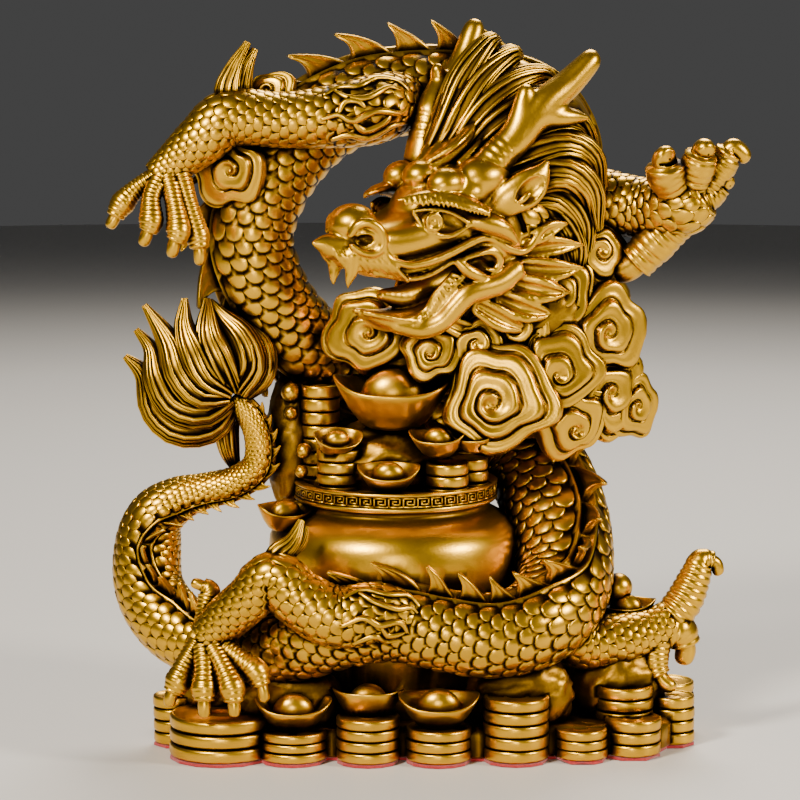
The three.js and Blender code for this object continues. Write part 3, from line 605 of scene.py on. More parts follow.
    @staticmethod
    def _hair(graph: Graph, given: Made) -> Value:
        """Every line of the mesh as a round strand, as thick as its points say."""
        curve = graph.add("GeometryNodeMeshToCurve", None, {0: given[0]})[0]
        thick = graph.add("GeometryNodeInputNamedAttribute", {"data_type": "FLOAT"}, {"Name": "thick"})[0]
        section = graph.add(
            "GeometryNodeCurvePrimitiveCircle", {"mode": "RADIUS"}, {"Resolution": given["Sides"], "Radius": 1.0}
        )[0]
        tube = graph.add(
            "GeometryNodeCurveToMesh", None,
            {"Curve": curve, "Profile Curve": section, "Scale": thick, "Fill Caps": True},
        )[0]
        soft = graph.add("GeometryNodeSetShadeSmooth", None, {0: tube})[0]
        return finish_tree(graph, soft, given["Metal"])


# Finishes


@dataclass(frozen=True)
class AntiqueBrass:
    """Cast brass, rubbed bright where a hand reaches it, over a dark patina that stays in the recesses; the colour
    darkens with how shut in each place is, so it is painted shade as well as patina, also between separate parts.
    """

    name: str = "antique_brass"
    # The colour ramp from the most shut-in places to the open ones. The dark and brown ends are painted shade in
    # recesses and between parts, as well as real patina. The bright end is the rubbed metal.
    dark: tuple[float, float, float] = (0.006, 0.003, 0.001)
    brown: tuple[float, float, float] = (0.055, 0.027, 0.0035)
    gold: tuple[float, float, float] = (0.28, 0.140, 0.005)
    bright: tuple[float, float, float] = (0.80, 0.44, 0.014)
    # Where the ramp of painted shade and wear begins and ends, on the scale of openness.
    shade_and_wear_low: float = 0.5
    shade_and_wear_high: float = 1.0
    cloudiness: float = 0.14
    speckle: float = 0.05
    cloud_scale: float = 55.0
    grain_scale: float = 900.0
    satin: float = 0.5
    shine: float = 0.2
    uneven: float = 0.06
    grain: float = 0.12
    grain_depth: float = 0.0004

    def make(self) -> bpy.types.Material:
        """The material, which reads how open each place is from the attribute named open, and paints shade and patina
        into the colour where a place is shut in.
        """
        metal = bpy.data.materials.new(self.name)
        metal.use_nodes = True
        metal.node_tree.nodes.clear()
        graph = Graph(metal.node_tree)
        place = graph.add("ShaderNodeTexCoord")["Object"]
        openness = graph.add("ShaderNodeAttribute", {"attribute_name": "open"})["Fac"]
        cloudy = graph.add("ShaderNodeTexNoise", None, {"Vector": place, "Scale": self.cloud_scale, "Detail": 4.0})[0]
        fine = graph.add("ShaderNodeTexNoise", None, {"Vector": place, "Scale": self.grain_scale, "Detail": 3.0})[0]
        # Painted shade with patina and wear: the openness from the rays, darker where nearby metal shuts a place in,
        # with real mottling on top.
        shade_and_wear_level = openness + (cloudy - 0.5) * self.cloudiness + (fine - 0.5) * self.speckle
        shade_and_wear = graph.add(
            "ShaderNodeMapRange", {"interpolation_type": "SMOOTHSTEP"}, {0: shade_and_wear_level, 1: self.shade_and_wear_low, 2: self.shade_and_wear_high}
        )[0]
        colour = graph.add(
            "ShaderNodeValToRGB",
            {"stops": [(0.0, self.dark), (0.3, self.brown), (0.7, self.gold), (1.0, self.bright)]},
            {0: shade_and_wear},
        )[0]
        roughness = self.satin - shade_and_wear * self.shine + (fine - 0.5) * self.uneven
        surface = graph.add(
            "ShaderNodeBump", None, {"Strength": self.grain, "Distance": self.grain_depth, "Height": fine}
        )[0]
        shader = graph.add(
            "ShaderNodeBsdfPrincipled", None,
            {"Base Color": colour, "Metallic": 1.0, "Roughness": roughness, "Normal": surface},
        )[0]
        graph.add("ShaderNodeOutputMaterial", None, {0: shader})
        return metal


@dataclass(frozen=True)
class RedFelt:
    """Thin pressed felt."""

    name: str = "red_felt"
    deep: tuple[float, float, float] = (0.26, 0.008, 0.012)
    light: tuple[float, float, float] = (0.52, 0.03, 0.035)
    fibre_scale: float = 1400.0
    nap_depth: float = 0.0003

    def make(self) -> bpy.types.Material:
        """The material."""
        felt = bpy.data.materials.new(self.name)
        felt.use_nodes = True
        felt.node_tree.nodes.clear()
        graph = Graph(felt.node_tree)
        place = graph.add("ShaderNodeTexCoord")["Object"]
        fibre = graph.add("ShaderNodeTexNoise", None, {"Vector": place, "Scale": self.fibre_scale, "Detail": 5.0})[0]
        colour = graph.add("ShaderNodeValToRGB", {"stops": [(0.3, self.deep), (0.7, self.light)]}, {0: fibre})[0]
        nap = graph.add("ShaderNodeBump", None, {"Strength": 0.5, "Distance": self.nap_depth, "Height": fibre})[0]
        shader = graph.add(
            "ShaderNodeBsdfPrincipled", None,
            {"Base Color": colour, "Roughness": 0.95, "Normal": nap, "Sheen Weight": 0.4},
        )[0]
        graph.add("ShaderNodeOutputMaterial", None, {0: shader})
        return felt


class Clay:
    """A form built up and cut away with soft shapes, on a grid of distances in a frame of its own."""

    # The distance that an empty grid holds.
    EMPTY = 5.0

    def __init__(self, low: Sequence[float], high: Sequence[float], step: float) -> None:
        """Makes the empty grid.

        Args:
            low: the grid's lowest corner.
            high: its highest corner.
            step: the distance between its points.
        """
        self.low = np.array(low, float)
        self.step = step
        self.axes = [np.arange(a, b, step, dtype=np.float32) for a, b in zip(low, high)]
        self.away = np.full([len(axis) for axis in self.axes], self.EMPTY, np.float32)

    def _near(self, points: np.ndarray, reach: float) -> tuple[tuple[slice, ...], np.ndarray]:
        """The part of the grid round some points.

        Args:
            points: the points.
            reach: how far round them.

        Returns:
            The slices, and the places of the grid's points there.
        """
        cuts = []
        for axis, low, high in zip(self.axes, points.min(0) - reach, points.max(0) + reach):
            cuts.append(slice(int(np.searchsorted(axis, low)), int(np.searchsorted(axis, high))))
        grid = np.meshgrid(*[axis[cut] for axis, cut in zip(self.axes, cuts)], indexing="ij")
        return tuple(cuts), np.stack(grid, -1)

    def _blend(self, cuts: tuple[slice, ...], shape: np.ndarray, soft: float, dig: bool) -> None:
        """Joins a shape's distances to the form, or cuts them out of it.

        Args:
            cuts: the part of the grid.
            shape: the distances.
            soft: how widely the two melt together.
            dig: whether the shape is cut out.
        """
        sign = -1 if dig else 1
        have = self.away[cuts] * sign
        mix = np.clip(0.5 + 0.5 * (have - shape) / soft, 0, 1)
        self.away[cuts] = (have + (shape - have) * mix - soft * mix * (1 - mix)) * sign

    def egg(self, at: Sequence[float], size: Sequence[float], soft: float = 2.0, dig: bool = False,
            turn: np.ndarray | None = None) -> None:
        """An egg shape.

        Args:
            at: its centre.
            size: its half sizes.
            soft: how widely it melts in.
            dig: whether it is cut out.
            turn: its own axes as rows.
        """
        at, size = np.array(at, np.float32), np.array(size, np.float32)
        cuts, place = self._near(at[None, :], float(size.max()) + soft + 2)
        offset = place - at
        if turn is not None:
            offset = offset @ np.array(turn, np.float32).T
        near = np.linalg.norm(offset / size, axis=-1)
        steep = np.linalg.norm(offset / size**2, axis=-1)
        self._blend(cuts, near * (near - 1) / np.maximum(steep, 1e-4), soft, dig)

    def rod(self, rows: Sequence[Sequence[float]], soft: float = 1.0, dig: bool = False,
            flat: Sequence[float] | None = None, thin: float = 1.0, spans: int = 5) -> None:
        """A rod of changing radius through rows of place and radius.

        Args:
            rows: the rows.
            soft: how widely it melts in.
            dig: whether it is cut out.
            flat: the way in which it is flattened.
            thin: how much it is flattened that way.
            spans: the pieces of each span.
        """
        line = smooth_line(np.array(rows, float), spans).astype(np.float32)
        cuts, place = self._near(line[:, :3], float(line[:, 3].max()) + soft + 2)
        best = np.full(place.shape[:3], 1e3, np.float32)
        press = None if flat is None else unit(flat).astype(np.float32)
        for a, b in zip(line[:-1], line[1:]):
            way = b[:3] - a[:3]
            t = np.clip(((place - a[:3]) @ way) / max(float(way @ way), 1e-6), 0, 1)
            offset = place - a[:3] - t[..., None] * way
            if press is not None:
                offset = offset + (offset @ press)[..., None] * press * (1 / thin - 1)
            best = np.minimum(best, np.linalg.norm(offset, axis=-1) - (a[3] + t * (b[3] - a[3])))
        self._blend(cuts, best, soft, dig)

    def pair(self, rows: Sequence[Sequence[float]], soft: float = 1.0, dig: bool = False, spans: int = 5) -> None:
        """The same round rod on both cheeks."""
        self.rod(rows, soft, dig, spans=spans)
        self.rod(far(rows), soft, dig, spans=spans)

    def muzzle(self, rows: Sequence[Sequence[float]], soft: float = 2.0, power: float = 2.3) -> None:
        """A snout or a jaw along the first axis.

        Args:
            rows: rows of place along, height, half width and half height, from the back to the front.
            soft: how widely it melts in.
            power: how square its section is.
        """
        line = smooth_line(np.array(rows, float), 5)
        ends = np.array([[line[0, 0], -60, -40], [line[-1, 0], 60, 40]])
        cuts, place = self._near(ends, 3)
        x = place[..., 0]
        rise, wide, high = (np.interp(x, line[:, 0], line[:, k]) for k in (1, 2, 3))
        near = (np.abs(place[..., 2] / wide) ** power + np.abs((place[..., 1] - rise) / high) ** power) ** (1 / power)
        best = (near - 1) * np.minimum(wide, high)
        best = np.maximum(best, np.maximum(line[0, 0] - x, x - line[-1, 0]))
        self._blend(cuts, best.astype(np.float32), soft, False)

    def shape(self) -> Shape:
        """The form's surface."""
        grid = openvdb.FloatGrid(self.EMPTY)
        grid.copyFromArray(self.away)
        points, triangles, quads = grid.convertToPolygons(0.0, 0.0)
        points = np.array(points) * self.step + self.low
        faces = [list(map(int, face)) for face in [*np.array(triangles), *np.array(quads)]]
        return Shape(points, faces).outward()


def far(rows: Sequence[Sequence[float]]) -> list[list[float]]:
    """The same rows on the far cheek."""
    return [[row[0], row[1], -row[2], *row[3:]] for row in rows]


def round_line(middle: np.ndarray, one: np.ndarray, two: np.ndarray, radius: float, thick: float) -> list:
    """Rows of a closed ring, for a rod.

    Args:
        middle: the ring's centre.
        one: one axis across it.
        two: the other.
        radius: its radius.
        thick: the radius of the rod.

    Returns:
        The rows.
    """
    return [
        (*(middle + (one * math.cos(a) + two * math.sin(a)) * radius), thick) for a in np.linspace(0, TURN, 13)
    ]


# The parts of the casting


# The centreline from the neck to the tail: x, y, z, radius, and the way its back faces.
SPINE = [
    (31, -18, 233, 17, 0.3, 0.6, 0.7), (47, -2, 242, 19, 0.7, 0.4, 0.4), (57, 12, 259, 20, 0.95, 0.1, 0.2),
    (50, 22, 278, 20, 0.7, 0, 0.7), (32, 26, 287, 19.5, 0.25, -0.1, 0.95), (12, 26, 289, 19.5, 0.05, -0.2, 1),
    (-11, 24, 289, 19.5, -0.1, -0.25, 1), (-33, 20, 285, 19.5, -0.3, -0.25, 0.95),
    (-55, 14, 272, 20, -0.65, -0.25, 0.75), (-72, 8, 251, 20, -0.9, -0.3, 0.35), (-80, 5, 227, 19.5, -0.95, -0.3, 0),
    (-76, 6, 205, 19.5, -0.85, -0.5, -0.25), (-65, 12, 184, 20, -0.6, -0.65, -0.5),
    (-45, 24, 165, 20, -0.35, -0.6, -0.7), (-22, 36, 149, 20, -0.1, -0.8, -0.6), (3, 42, 137, 20.5, 0.1, -0.9, -0.4),
    (29, 42, 127, 21, 0.25, -0.95, -0.1), (47, 30, 119, 22, 0.4, -0.9, 0), (56, 12, 104, 22.5, 0.47, -0.88, 0),
    (60, -8, 87, 22, 0.45, -0.85, 0.25), (59, -28, 70, 20.5, 0.25, -0.7, 0.65), (47, -46, 59, 19, -0.1, -0.45, 0.9),
    (27, -54, 55, 18, 0, -0.35, 0.95), (5, -56, 58, 17.5, 0, -0.3, 0.95), (-17, -56, 62, 17.5, 0, -0.3, 0.95),
    (-39, -54, 58, 17, 0, -0.3, 0.95), (-59, -47, 50, 16.5, -0.05, -0.3, 0.95), (-80, -36, 45, 16, -0.1, -0.4, 0.9),
    (-99, -24, 45, 15.5, 0.1, -0.6, 0.8), (-116, -14, 53, 15.5, 0.4, -0.65, 0.6), (-126, -6, 67, 15, 0.3, -0.95, 0.1),
    (-127, -2, 85, 14.5, -0.05, -1, 0), (-123, -2, 99, 12.5, 0.1, -0.95, -0.3), (-113, -2, 107, 10, 0.15, -0.8, -0.6),
    (-101, -3, 111, 8, 0, -0.7, -0.7), (-87, -5, 115, 7.5, 0.2, -0.6, -0.75), (-77, -7, 123, 7, 0.65, -0.6, -0.45),
    (-76, -8, 135, 6.5, 0.85, -0.5, 0), (-80, -8, 146, 6, 0.8, -0.5, 0.3), (-88, -8, 155, 5, 0.7, -0.5, 0.5),
]
# Where the fins stand, as places along the rows above.
FINNED = [(4.3, 12.9), (16.8, 27.6), (28.2, 38.2)]
# How deep a scale sits in the skin, in radii.
SCALE_SINK = 0.03


def scale_shape(long: float, wide: float, lift: float) -> Shape:
    """One fish scale: a round-ended shield whose free end stands off the skin.

    Args:
        long: its length along the body, in radii.
        wide: its width, as an angle.
        lift: how far its free end stands off, in radii.

    Returns:
        The closed scale, free end towards +X, on a skin at Z 0.
    """
    outline = np.array([(-0.5, -0.38), (0.0, -0.5), (0.24, -0.48), (0.39, -0.37), (0.475, -0.2), (0.5, 0.0)])
    outline = np.concatenate([outline, outline[-2::-1] * [1, -1]])
    grow = np.array([long, wide])
    rise = lift * (0.1 + 0.9 * smooth(outline[:, 0], -0.5, 0.35))
    rows = [np.column_stack([outline * grow, np.full(len(outline), -lift)])]
    for share, high in ((1.0, 0.0), (0.86, 0.3)):
        rows.append(np.column_stack([(outline * share + [0.01, 0]) * grow, rise + lift * high]))
    shape = capped(np.stack(rows))
    shape.points[-1, 2] = rows[2][:, 2].mean() + lift * 0.16
    shape.points[:, 2] -= SCALE_SINK
    return shape


def fin_shape(height: float) -> Shape:
    """One fin of the back: a flame swept towards the tail, with a raised rim and a hollow cheek.

    Args:
        height: how far it stands off, in radii.

    Returns:
        The closed fin, rooted just inside the skin.
    """
    across = np.linspace(0, 1, 9)
    rim = 0.04 + 0.045 * (bump(across, 0.06, 0.1) + bump(across, 0.94, 0.1)) + 0.02 * bump(across, 0.5, 0.1)
    rows = []
    for s in np.linspace(0, 1, 9):
        lead = -0.42 + 0.86 * s**1.35
        trail = 0.4 + 0.08 * s - 0.12 * math.sin(math.pi * min(s * 1.1, 1)) ** 0.8
        u = lead + (trail - lead) * across
        thick = rim * (1 - 0.4 * s)
        out = np.full(9, -0.1 + (height + 0.1) * s)
        front = np.column_stack([u, thick, out])
        back = np.column_stack([u[::-1], -thick[::-1], out])
        rows.append(np.concatenate([front, back]))
    return capped(np.array(rows), flip=True)


def tube_shape(
    length: float, angles: np.ndarray, step: float, out: Callable[[np.ndarray, np.ndarray], np.ndarray]
) -> Shape:
    """A skin round a path, to be laid on it.

    Args:
        length: the path's length in radii.
        angles: the angles of its columns.
        step: the distance between its rings.
        out: gives the distance from the centre for places along and angles.

    Returns:
        The closed skin.
    """
    along = np.linspace(0.02, length, max(int(length / step), 4))
    u, a = np.meshgrid(along, angles, indexing="ij")
    return capped(np.stack([u, a, out(u, a)], -1))


@dataclass
class Workshop:
    """What every part of the casting is made with: the recipes, the metal and the finished pieces."""

    recipes: Recipes
    metal: bpy.types.Material
    made: dict[str, list[bpy.types.Object]] = field(default_factory=dict)

    def keep(self, name: str, piece: bpy.types.Object) -> None:
        """Puts a finished mesh with the others of its piece."""
        self.made.setdefault(name, []).append(piece)

    def dress(self, name: str, shape: Shape) -> None:
        """Keeps a plain shape in the metal."""
        piece = shape.piece(name)
        piece.data.materials.append(self.metal)
        self.keep(name, piece)

    def wrap(self, name: str, shape: Shape, path: Path) -> None:
        """Lays a shape on a path and keeps it."""
        guide = path.guide(name + "_guide")
        self.keep(name, self.recipes.wrap.cook(shape.piece(name, True), Path=guide, Metal=self.metal))

    def coat(self, name: str, shape: Shape, path: Path, **sizes: object) -> None:
        """Repeats a shape over a path and keeps the result."""
        guide = path.guide(name + "_guide")
        template = shape.outward(-1).piece(name, True)
        self.keep(name, self.recipes.coat.cook(template, Path=guide, Metal=self.metal, **sizes))


@dataclass
class Body:
    """The long scaled body with its cords, belly plates and fins."""

    shop: Workshop
    fin_pitch: float = 0.86
    fin_height: float = 0.68
    scale_rows: float = 0.29
    belly_from: float = 2.32

    def __post_init__(self) -> None:
        """Reads the centreline."""
        rows = np.array(SPINE, float)
        self.path = Path.through(rows[:, :4], rows[:, 4:])

    def build(self) -> None:
        """Makes the skin, the scales and the fins."""
        self._skin()
        self._scales()
        self._fins()

    def _skin(self) -> None:
        """The skin under the scales, with two cords beside the fins and plates under the belly."""
        half = np.concatenate([
            np.arange(0, 0.42, 0.055), np.arange(0.44, 2.1, 0.21), np.arange(2.2, 2.5, 0.06),
            np.arange(2.56, 3.12, 0.16),
        ])
        angles = np.concatenate([half, TURN - half[:0:-1]])

        def out(u: np.ndarray, a: np.ndarray) -> np.ndarray:
            """The skin's distance from the centreline."""
            round_way = np.minimum(a, TURN - a)
            belly = smooth(round_way, self.belly_from, self.belly_from + 0.08)
            phase = (u / 0.36) % 1.0
            plates = 0.03 * np.minimum(phase / 0.8, (1 - phase) / 0.2)
            cord = 0.14 * bump(round_way, 0.2, 0.055) + 0.05 * bump(round_way, self.belly_from, 0.05)
            return 0.955 + cord + belly * (0.01 + plates)

        self.shop.wrap("body_skin", tube_shape(self.path.length, angles, 0.09, out), self.path)

    def _scales(self) -> None:
        """Rows of scales on both flanks, from the cords to the belly."""
        rows = int(self.path.length / self.scale_rows)
        shape = scale_shape(0.72, 0.47, 0.065)
        for middle in (1.34, -1.55):
            self.shop.coat(
                "body_scales", shape, self.path, First=0.1, Rows=rows, Pitch=self.scale_rows, Across=5, Arc=1.68,
                Middle=middle, Seed=5,
            )

    def _fins(self) -> None:
        """The row of fins, where the back stands clear."""
        knots = self.path.knots(SPINE)
        for first, last in FINNED:
            start, end = (float(np.interp(t, np.arange(len(knots)), knots)) for t in (first, last))
            self.shop.coat(
                "body_fins", fin_shape(self.fin_height), self.path, First=start,
                Rows=int((end - start) / self.fin_pitch) + 1, Pitch=self.fin_pitch, Across=1, Arc=0.0, Spread=0.04,
            )


@dataclass
class Limb:
    """A scaled leg and its clawed toes, as rows of x, y, z and radius."""

    shop: Workshop
    name: str
    chain: list
    toes: list
    ridge: tuple[float, float, float] = (0.05, -1, 0.1)
    scale_rows: float = 0.32
    skin: float = 0.96

    def build(self) -> None:
        """Makes the skin, the scales, the toes and the flames."""
        path = Path.through(self.chain, self.ridge)
        angles = np.arange(20) / 20 * TURN
        skin = tube_shape(path.length, angles, 0.12, lambda u, a: np.full_like(u, self.skin))
        self.shop.wrap(self.name, skin, path)
        shape = scale_shape(0.78, 0.6, 0.08)
        self.shop.coat(
            self.name, shape, path, First=0.1, Rows=int(path.length / self.scale_rows), Pitch=self.scale_rows,
            Across=9, Arc=4.4, Middle=-0.25, Seed=9,
        )
        for toe in self.toes:
            self._toe(toe)
        for strand in FLAMES.get(self.name, []):
            self._flame(strand, path)

    def _flame(self, strand: list, path: Path) -> None:
        """One tongue of flame that licks over the hip, given by places along the leg and angles round it."""
        line = smooth_line(np.array(strand, float), 7)
        way = unit(np.gradient(line, axis=0))
        thick = 0.115 * np.sin(np.linspace(0.5, math.pi - 0.12, len(line)))[:, None] ** 0.7
        turn = np.arange(7) / 7 * TURN
        across = np.stack([-way[:, 1], way[:, 0]], 1)[:, None, :] * np.cos(turn)[None, :, None] * thick[:, None, :]
        high = 1.05 + np.sin(turn)[None, :] * thick * 1.25
        rows = np.concatenate([line[:, None, :] + across, high[..., None]], -1)
        self.shop.wrap(self.name, capped(rows).outward(-1), path)

    def _toe(self, rows: list) -> None:
        """One toe: ringed on its upper side, swollen at the last joint, and ending in a blunt claw from a cuff."""
        path = Path.through(rows, self.ridge)
        angles = np.arange(14) / 14 * TURN
        knots = path.knots(rows)
        radius = np.linalg.norm(path.ridge, axis=1)
        places = np.arange(len(radius)) * PATH_STEP
        root = knots[-2] - 0.4
        thick = 0.7 * float(np.interp(root, places, radius))

        def out(u: np.ndarray, a: np.ndarray) -> np.ndarray:
            """The toe's distance from its centreline."""
            ring = 0.11 * (np.abs(np.sin(math.pi * u / 0.4)) ** 0.7 - 0.6) * (0.7 + 0.3 * np.cos(a))
            ring *= 1 - 0.7 * bump(u, knots[-3], 0.5)
            cuff = 0.07 * bump(u, knots[-3], 0.5) + 0.06 * bump(u, root - 0.1, 0.12)
            tip = np.sqrt(np.clip(1 - np.clip((u - root) / (path.length - root), 0, 1) ** 3, 0.02, 1))
            nail = smooth(u, root - 0.04, root + 0.04)
            return (0.95 + ring + cuff) * (1 - nail) + thick * tip / np.interp(u, places, radius) * nail

        self.shop.wrap(self.name, tube_shape(path.length, angles, 0.06, out), path)


# The head's own frame: its centre, and the ways to its side, its front and its top.
HEAD_CENTRE = np.array([-9.0, -33.0, 234.0])
SIDE = np.array([0.5817, -0.8124, -0.0351])
FORE = np.array([-0.8093, -0.5728, -0.1301])
UP = np.array([-0.0856, -0.1041, 0.9909])
# Rows of forward, up, sideways and radius in that frame.
LIP = [
    (27, 5, 13, 1.6), (25, -2, 14.5, 1.6), (23, -8, 15, 1.6), (19, -11, 16.5, 1.7), (14, -13, 18.5, 1.8),
    (7, -13, 20, 1.9), (-1, -12, 21, 2), (-9, -10, 22, 2), (-16, -8, 23, 2), (-23, -7, 24, 2), (-29, -10, 25, 2),
    (-34, -14, 26, 2), (-41, -16.5, 26, 1.9), (-46, -14, 27, 1.8), (-50, -9, 28, 1.7), (-56, -6.5, 29, 1.5),
    (-63, -7.5, 30, 0.8),
]
GUM = [
    (28, -15, 11, 1), (18, -18.5, 13, 1.2), (10, -20, 15.5, 1.3), (2, -19, 17.5, 1.3), (-7, -16, 18.5, 1.3),
    (-15, -14, 20, 1.3), (-21, -13, 21, 1.2),
]
BROW = [
    (13, 15, 12, 1.2), (5, 15.4, 15, 3.2), (-3, 14.8, 18, 4.2), (-10, 12.6, 22, 4.2), (-16, 9.4, 25.5, 3.6),
    (-23, 5.6, 28.5, 1.8),
]
LEAVES = [
    [(-43, -12, 25, 3), (-52, -10, 28, 3.6), (-64, -8, 30, 0.7)],
    [(-45, -17, 24, 4), (-58, -17, 28, 4.4), (-72, -19, 30, 0.7)],
    [(-42, -24, 24, 4), (-55, -27, 31, 4.8), (-68, -28, 34, 0.7)],
    [(-38, -31, 23, 4.6), (-48, -35, 31, 5.4), (-60, -38, 33, 0.7)],
    [(-31, -37, 21, 4.6), (-41, -43, 28, 5.4), (-53, -47, 30, 0.7)],
    [(-20, -38, 19, 4), (-30, -46, 24, 5), (-44, -54, 25, 0.8)],
    [(-8, -44, 11, 3.4), (-20, -51, 12, 4.4), (-36, -58, 11, 0.8)],
]
HORNS = [
    [(-28, 17, 16, 9), (-38, 26, 18, 8), (-48, 33, 20, 7.5), (-60, 44, 22, 7.5), (-74, 52, 24, 6.5), (-85, 60, 26, 5.2),
     (-87, 62, 26, 4)],
    [(-58, 41, 22, 6), (-69, 39, 27, 4.5), (-79, 37, 30, 1.5)],
    [(-47, 34, 20, 6), (-51, 43, 20, 5), (-54, 51, 20, 3.8), (-55, 52.5, 20, 2.5)],
    [(-22, 24, -16, 9), (-27, 36, -18, 8), (-34, 46, -20, 7.5), (-46, 54, -23, 7), (-55, 63, -25, 5.8),
     (-62, 74, -26, 5), (-63, 76, -26, 3.5)],
    [(-30, 44, -19, 6), (-38, 54, -22, 4.5), (-38, 61, -22, 3)],
]


@dataclass
class Head:
    """The head with its open jaws, horns, crest, ears and the leaves behind the cheeks."""

    shop: Workshop
    grain: float = 0.82
    horn_grain: float = 1.05

    def build(self) -> None:
        """Models the head and its horns."""
        clay = Clay((-76, -62, -38), (54, 50, 38), self.grain)
        self._skull(clay)
        self._jaws(clay)
        self._eyes(clay)
        self._nose(clay)
        self._lips(clay)
        self._ears(clay)
        self._crest(clay)
        shape = clay.shape()
        self._keep("head", shape)
        horns = Clay((-94, 4, -38), (-6, 84, 36), self.horn_grain)
        self._horns(horns)
        self._keep("horns", horns.shape())

    def _keep(self, name: str, shape: Shape) -> None:
        """Puts a shape of the head's own frame in its place."""
        turn = np.stack([FORE, UP, SIDE], 1)
        self.shop.dress(name, shape.at(HEAD_CENTRE, turn).outward())

    @staticmethod
    def _skull(clay: Clay) -> None:
        """Skull, snout, throat and the lumps of the forehead."""
        clay.egg((-26, 2, 0), (28, 24, 24), 1)
        clay.muzzle([(-16, 0, 22, 15), (-4, -1, 21.5, 12.5), (8, -3, 20, 10.5), (18, -3.5, 17.5, 10), (26, -2, 15, 10),
                     (34, 0, 11, 9)], 3)
        clay.egg((-42, -12, 0), (14, 22, 20), 4)
        clay.egg((-9, 9, 0), (14, 9, 15), 4)
        clay.egg((-8, 20.5, 0), (8, 7, 8), 1.2)
        for side in (1, -1):
            clay.egg((-10, 18.5, 16.5 * side), (9, 7, 7.5), 1.6)
            clay.egg((-29, 18, 17 * side), (13, 9.5, 10.5), 3.5)
            clay.egg((-20, 13, 19 * side), (9, 6, 7), 2)
            clay.egg((-34, -8, 19 * side), (13, 14, 8), 3)
            clay.rod([(-13, 2, 21 * side, 2), (-22, 0, 25 * side, 4.4), (-30, -4, 28 * side, 4),
                      (-36, -11, 29.5 * side, 1)], 2)

    @staticmethod
    def _jaws(clay: Clay) -> None:
        """The lower jaw, its lip and teeth, the mouth inside, the tongue and the fangs."""
        clay.muzzle([(-22, -13, 19, 5), (-4, -15, 18, 5.5), (10, -16, 15.5, 5), (22, -14.5, 12, 4.5),
                     (30, -11, 8, 3)], 2)
        clay.muzzle([(-38, -20, 20, 12), (-24, -28, 18, 10), (-8, -37, 15, 8), (6, -41, 12.5, 6), (20, -38.5, 9.5, 4.5),
                     (29, -34, 5, 2.5)], 3)
        clay.egg((4, -25.5, 0), (31, 9, 12.5), 2, True)
        clay.egg((-6, -22, 0), (20, 8, 12.5), 2, True)
        clay.rod([(-24, -24, 0, 7), (-8, -29, 0, 6.5), (6, -31, 0, 5.5), (17, -28, 0, 3)], 1.5, spans=4)
        clay.rod([(-20, -19, 0, 0.8), (-6, -23.5, 0, 0.9), (8, -26, 0, 0.8), (17, -25.5, 0, 0.6)], 0.8, True)
        strap = [(16, -41.5, 8, 3), (6, -44.5, 11, 4), (-2, -42, 15, 4.5), (-8, -36, 18, 5), (-15, -30.5, 20.5, 5.2),
                 (-28, -29, 22.5, 5.6), (-38, -25, 22.5, 6)]
        lip = [(30, -33, 3, 1.2), (27, -34, 7, 1.3), (16, -38, 10.5, 1.3), (5, -40.5, 12.5, 1.3), (0, -39, 14, 1.3),
               (-3, -33.5, 16, 1.3), (-7.5, -27.5, 18.5, 1.3), (-13, -23, 20, 1.3)]
        gum = [(8, -38, 10, 1.2), (3, -35.5, 12, 1.2), (0, -30, 14, 1.2), (-4, -25.5, 16, 1.2), (-9, -21, 17.5, 1.2)]
        tusk = [(-10, -15.5, 20, 2), (-13.5, -20, 22, 2.9), (-18.5, -23.6, 23.4, 2.5), (-26, -26.5, 24, 0.5)]
        curl = [(-12, -15, 21.5, 1.2), (-18, -13.4, 23.4, 1.7), (-26, -13.6, 24, 2), (-30, -18, 24, 2),
                (-27.5, -22.4, 23.6, 1.6), (-23, -21.5, 23.4, 0.9)]
        clay.pair(strap, 2.5)
        for side in (1, -1):
            clay.egg((-21, -18, 23.5 * side), (6.5, 4, 4), 1, True)
        for rows in (lip, gum, tusk, curl):
            clay.pair(rows, 0.5, spans=3)
        tooth = smooth_line(np.array(gum), 3)[:, :3]
        root = smooth_line(np.array(lip[2:]), 3)[:, :3]
        for t in np.linspace(0.02, 0.98, 12):
            ends = [
                np.array([np.interp(t, np.linspace(0, 1, len(line)), column) for column in line.T])
                for line in (tooth, root)
            ]
            rows = [[*ends[0], 1.15], [*(ends[0] * 0.5 + ends[1] * 0.5 + [0.3, 0, 0.5]), 1.2], [*ends[1], 0.9]]
            clay.pair(rows, 0.25, spans=1)
        fang = [(36, -6, 6.5, 4), (36.5, -12, 6.5, 3), (38, -16, 6, 1.8), (39, -20, 5.5, 0.4)]
        clay.pair(fang, 0.6)

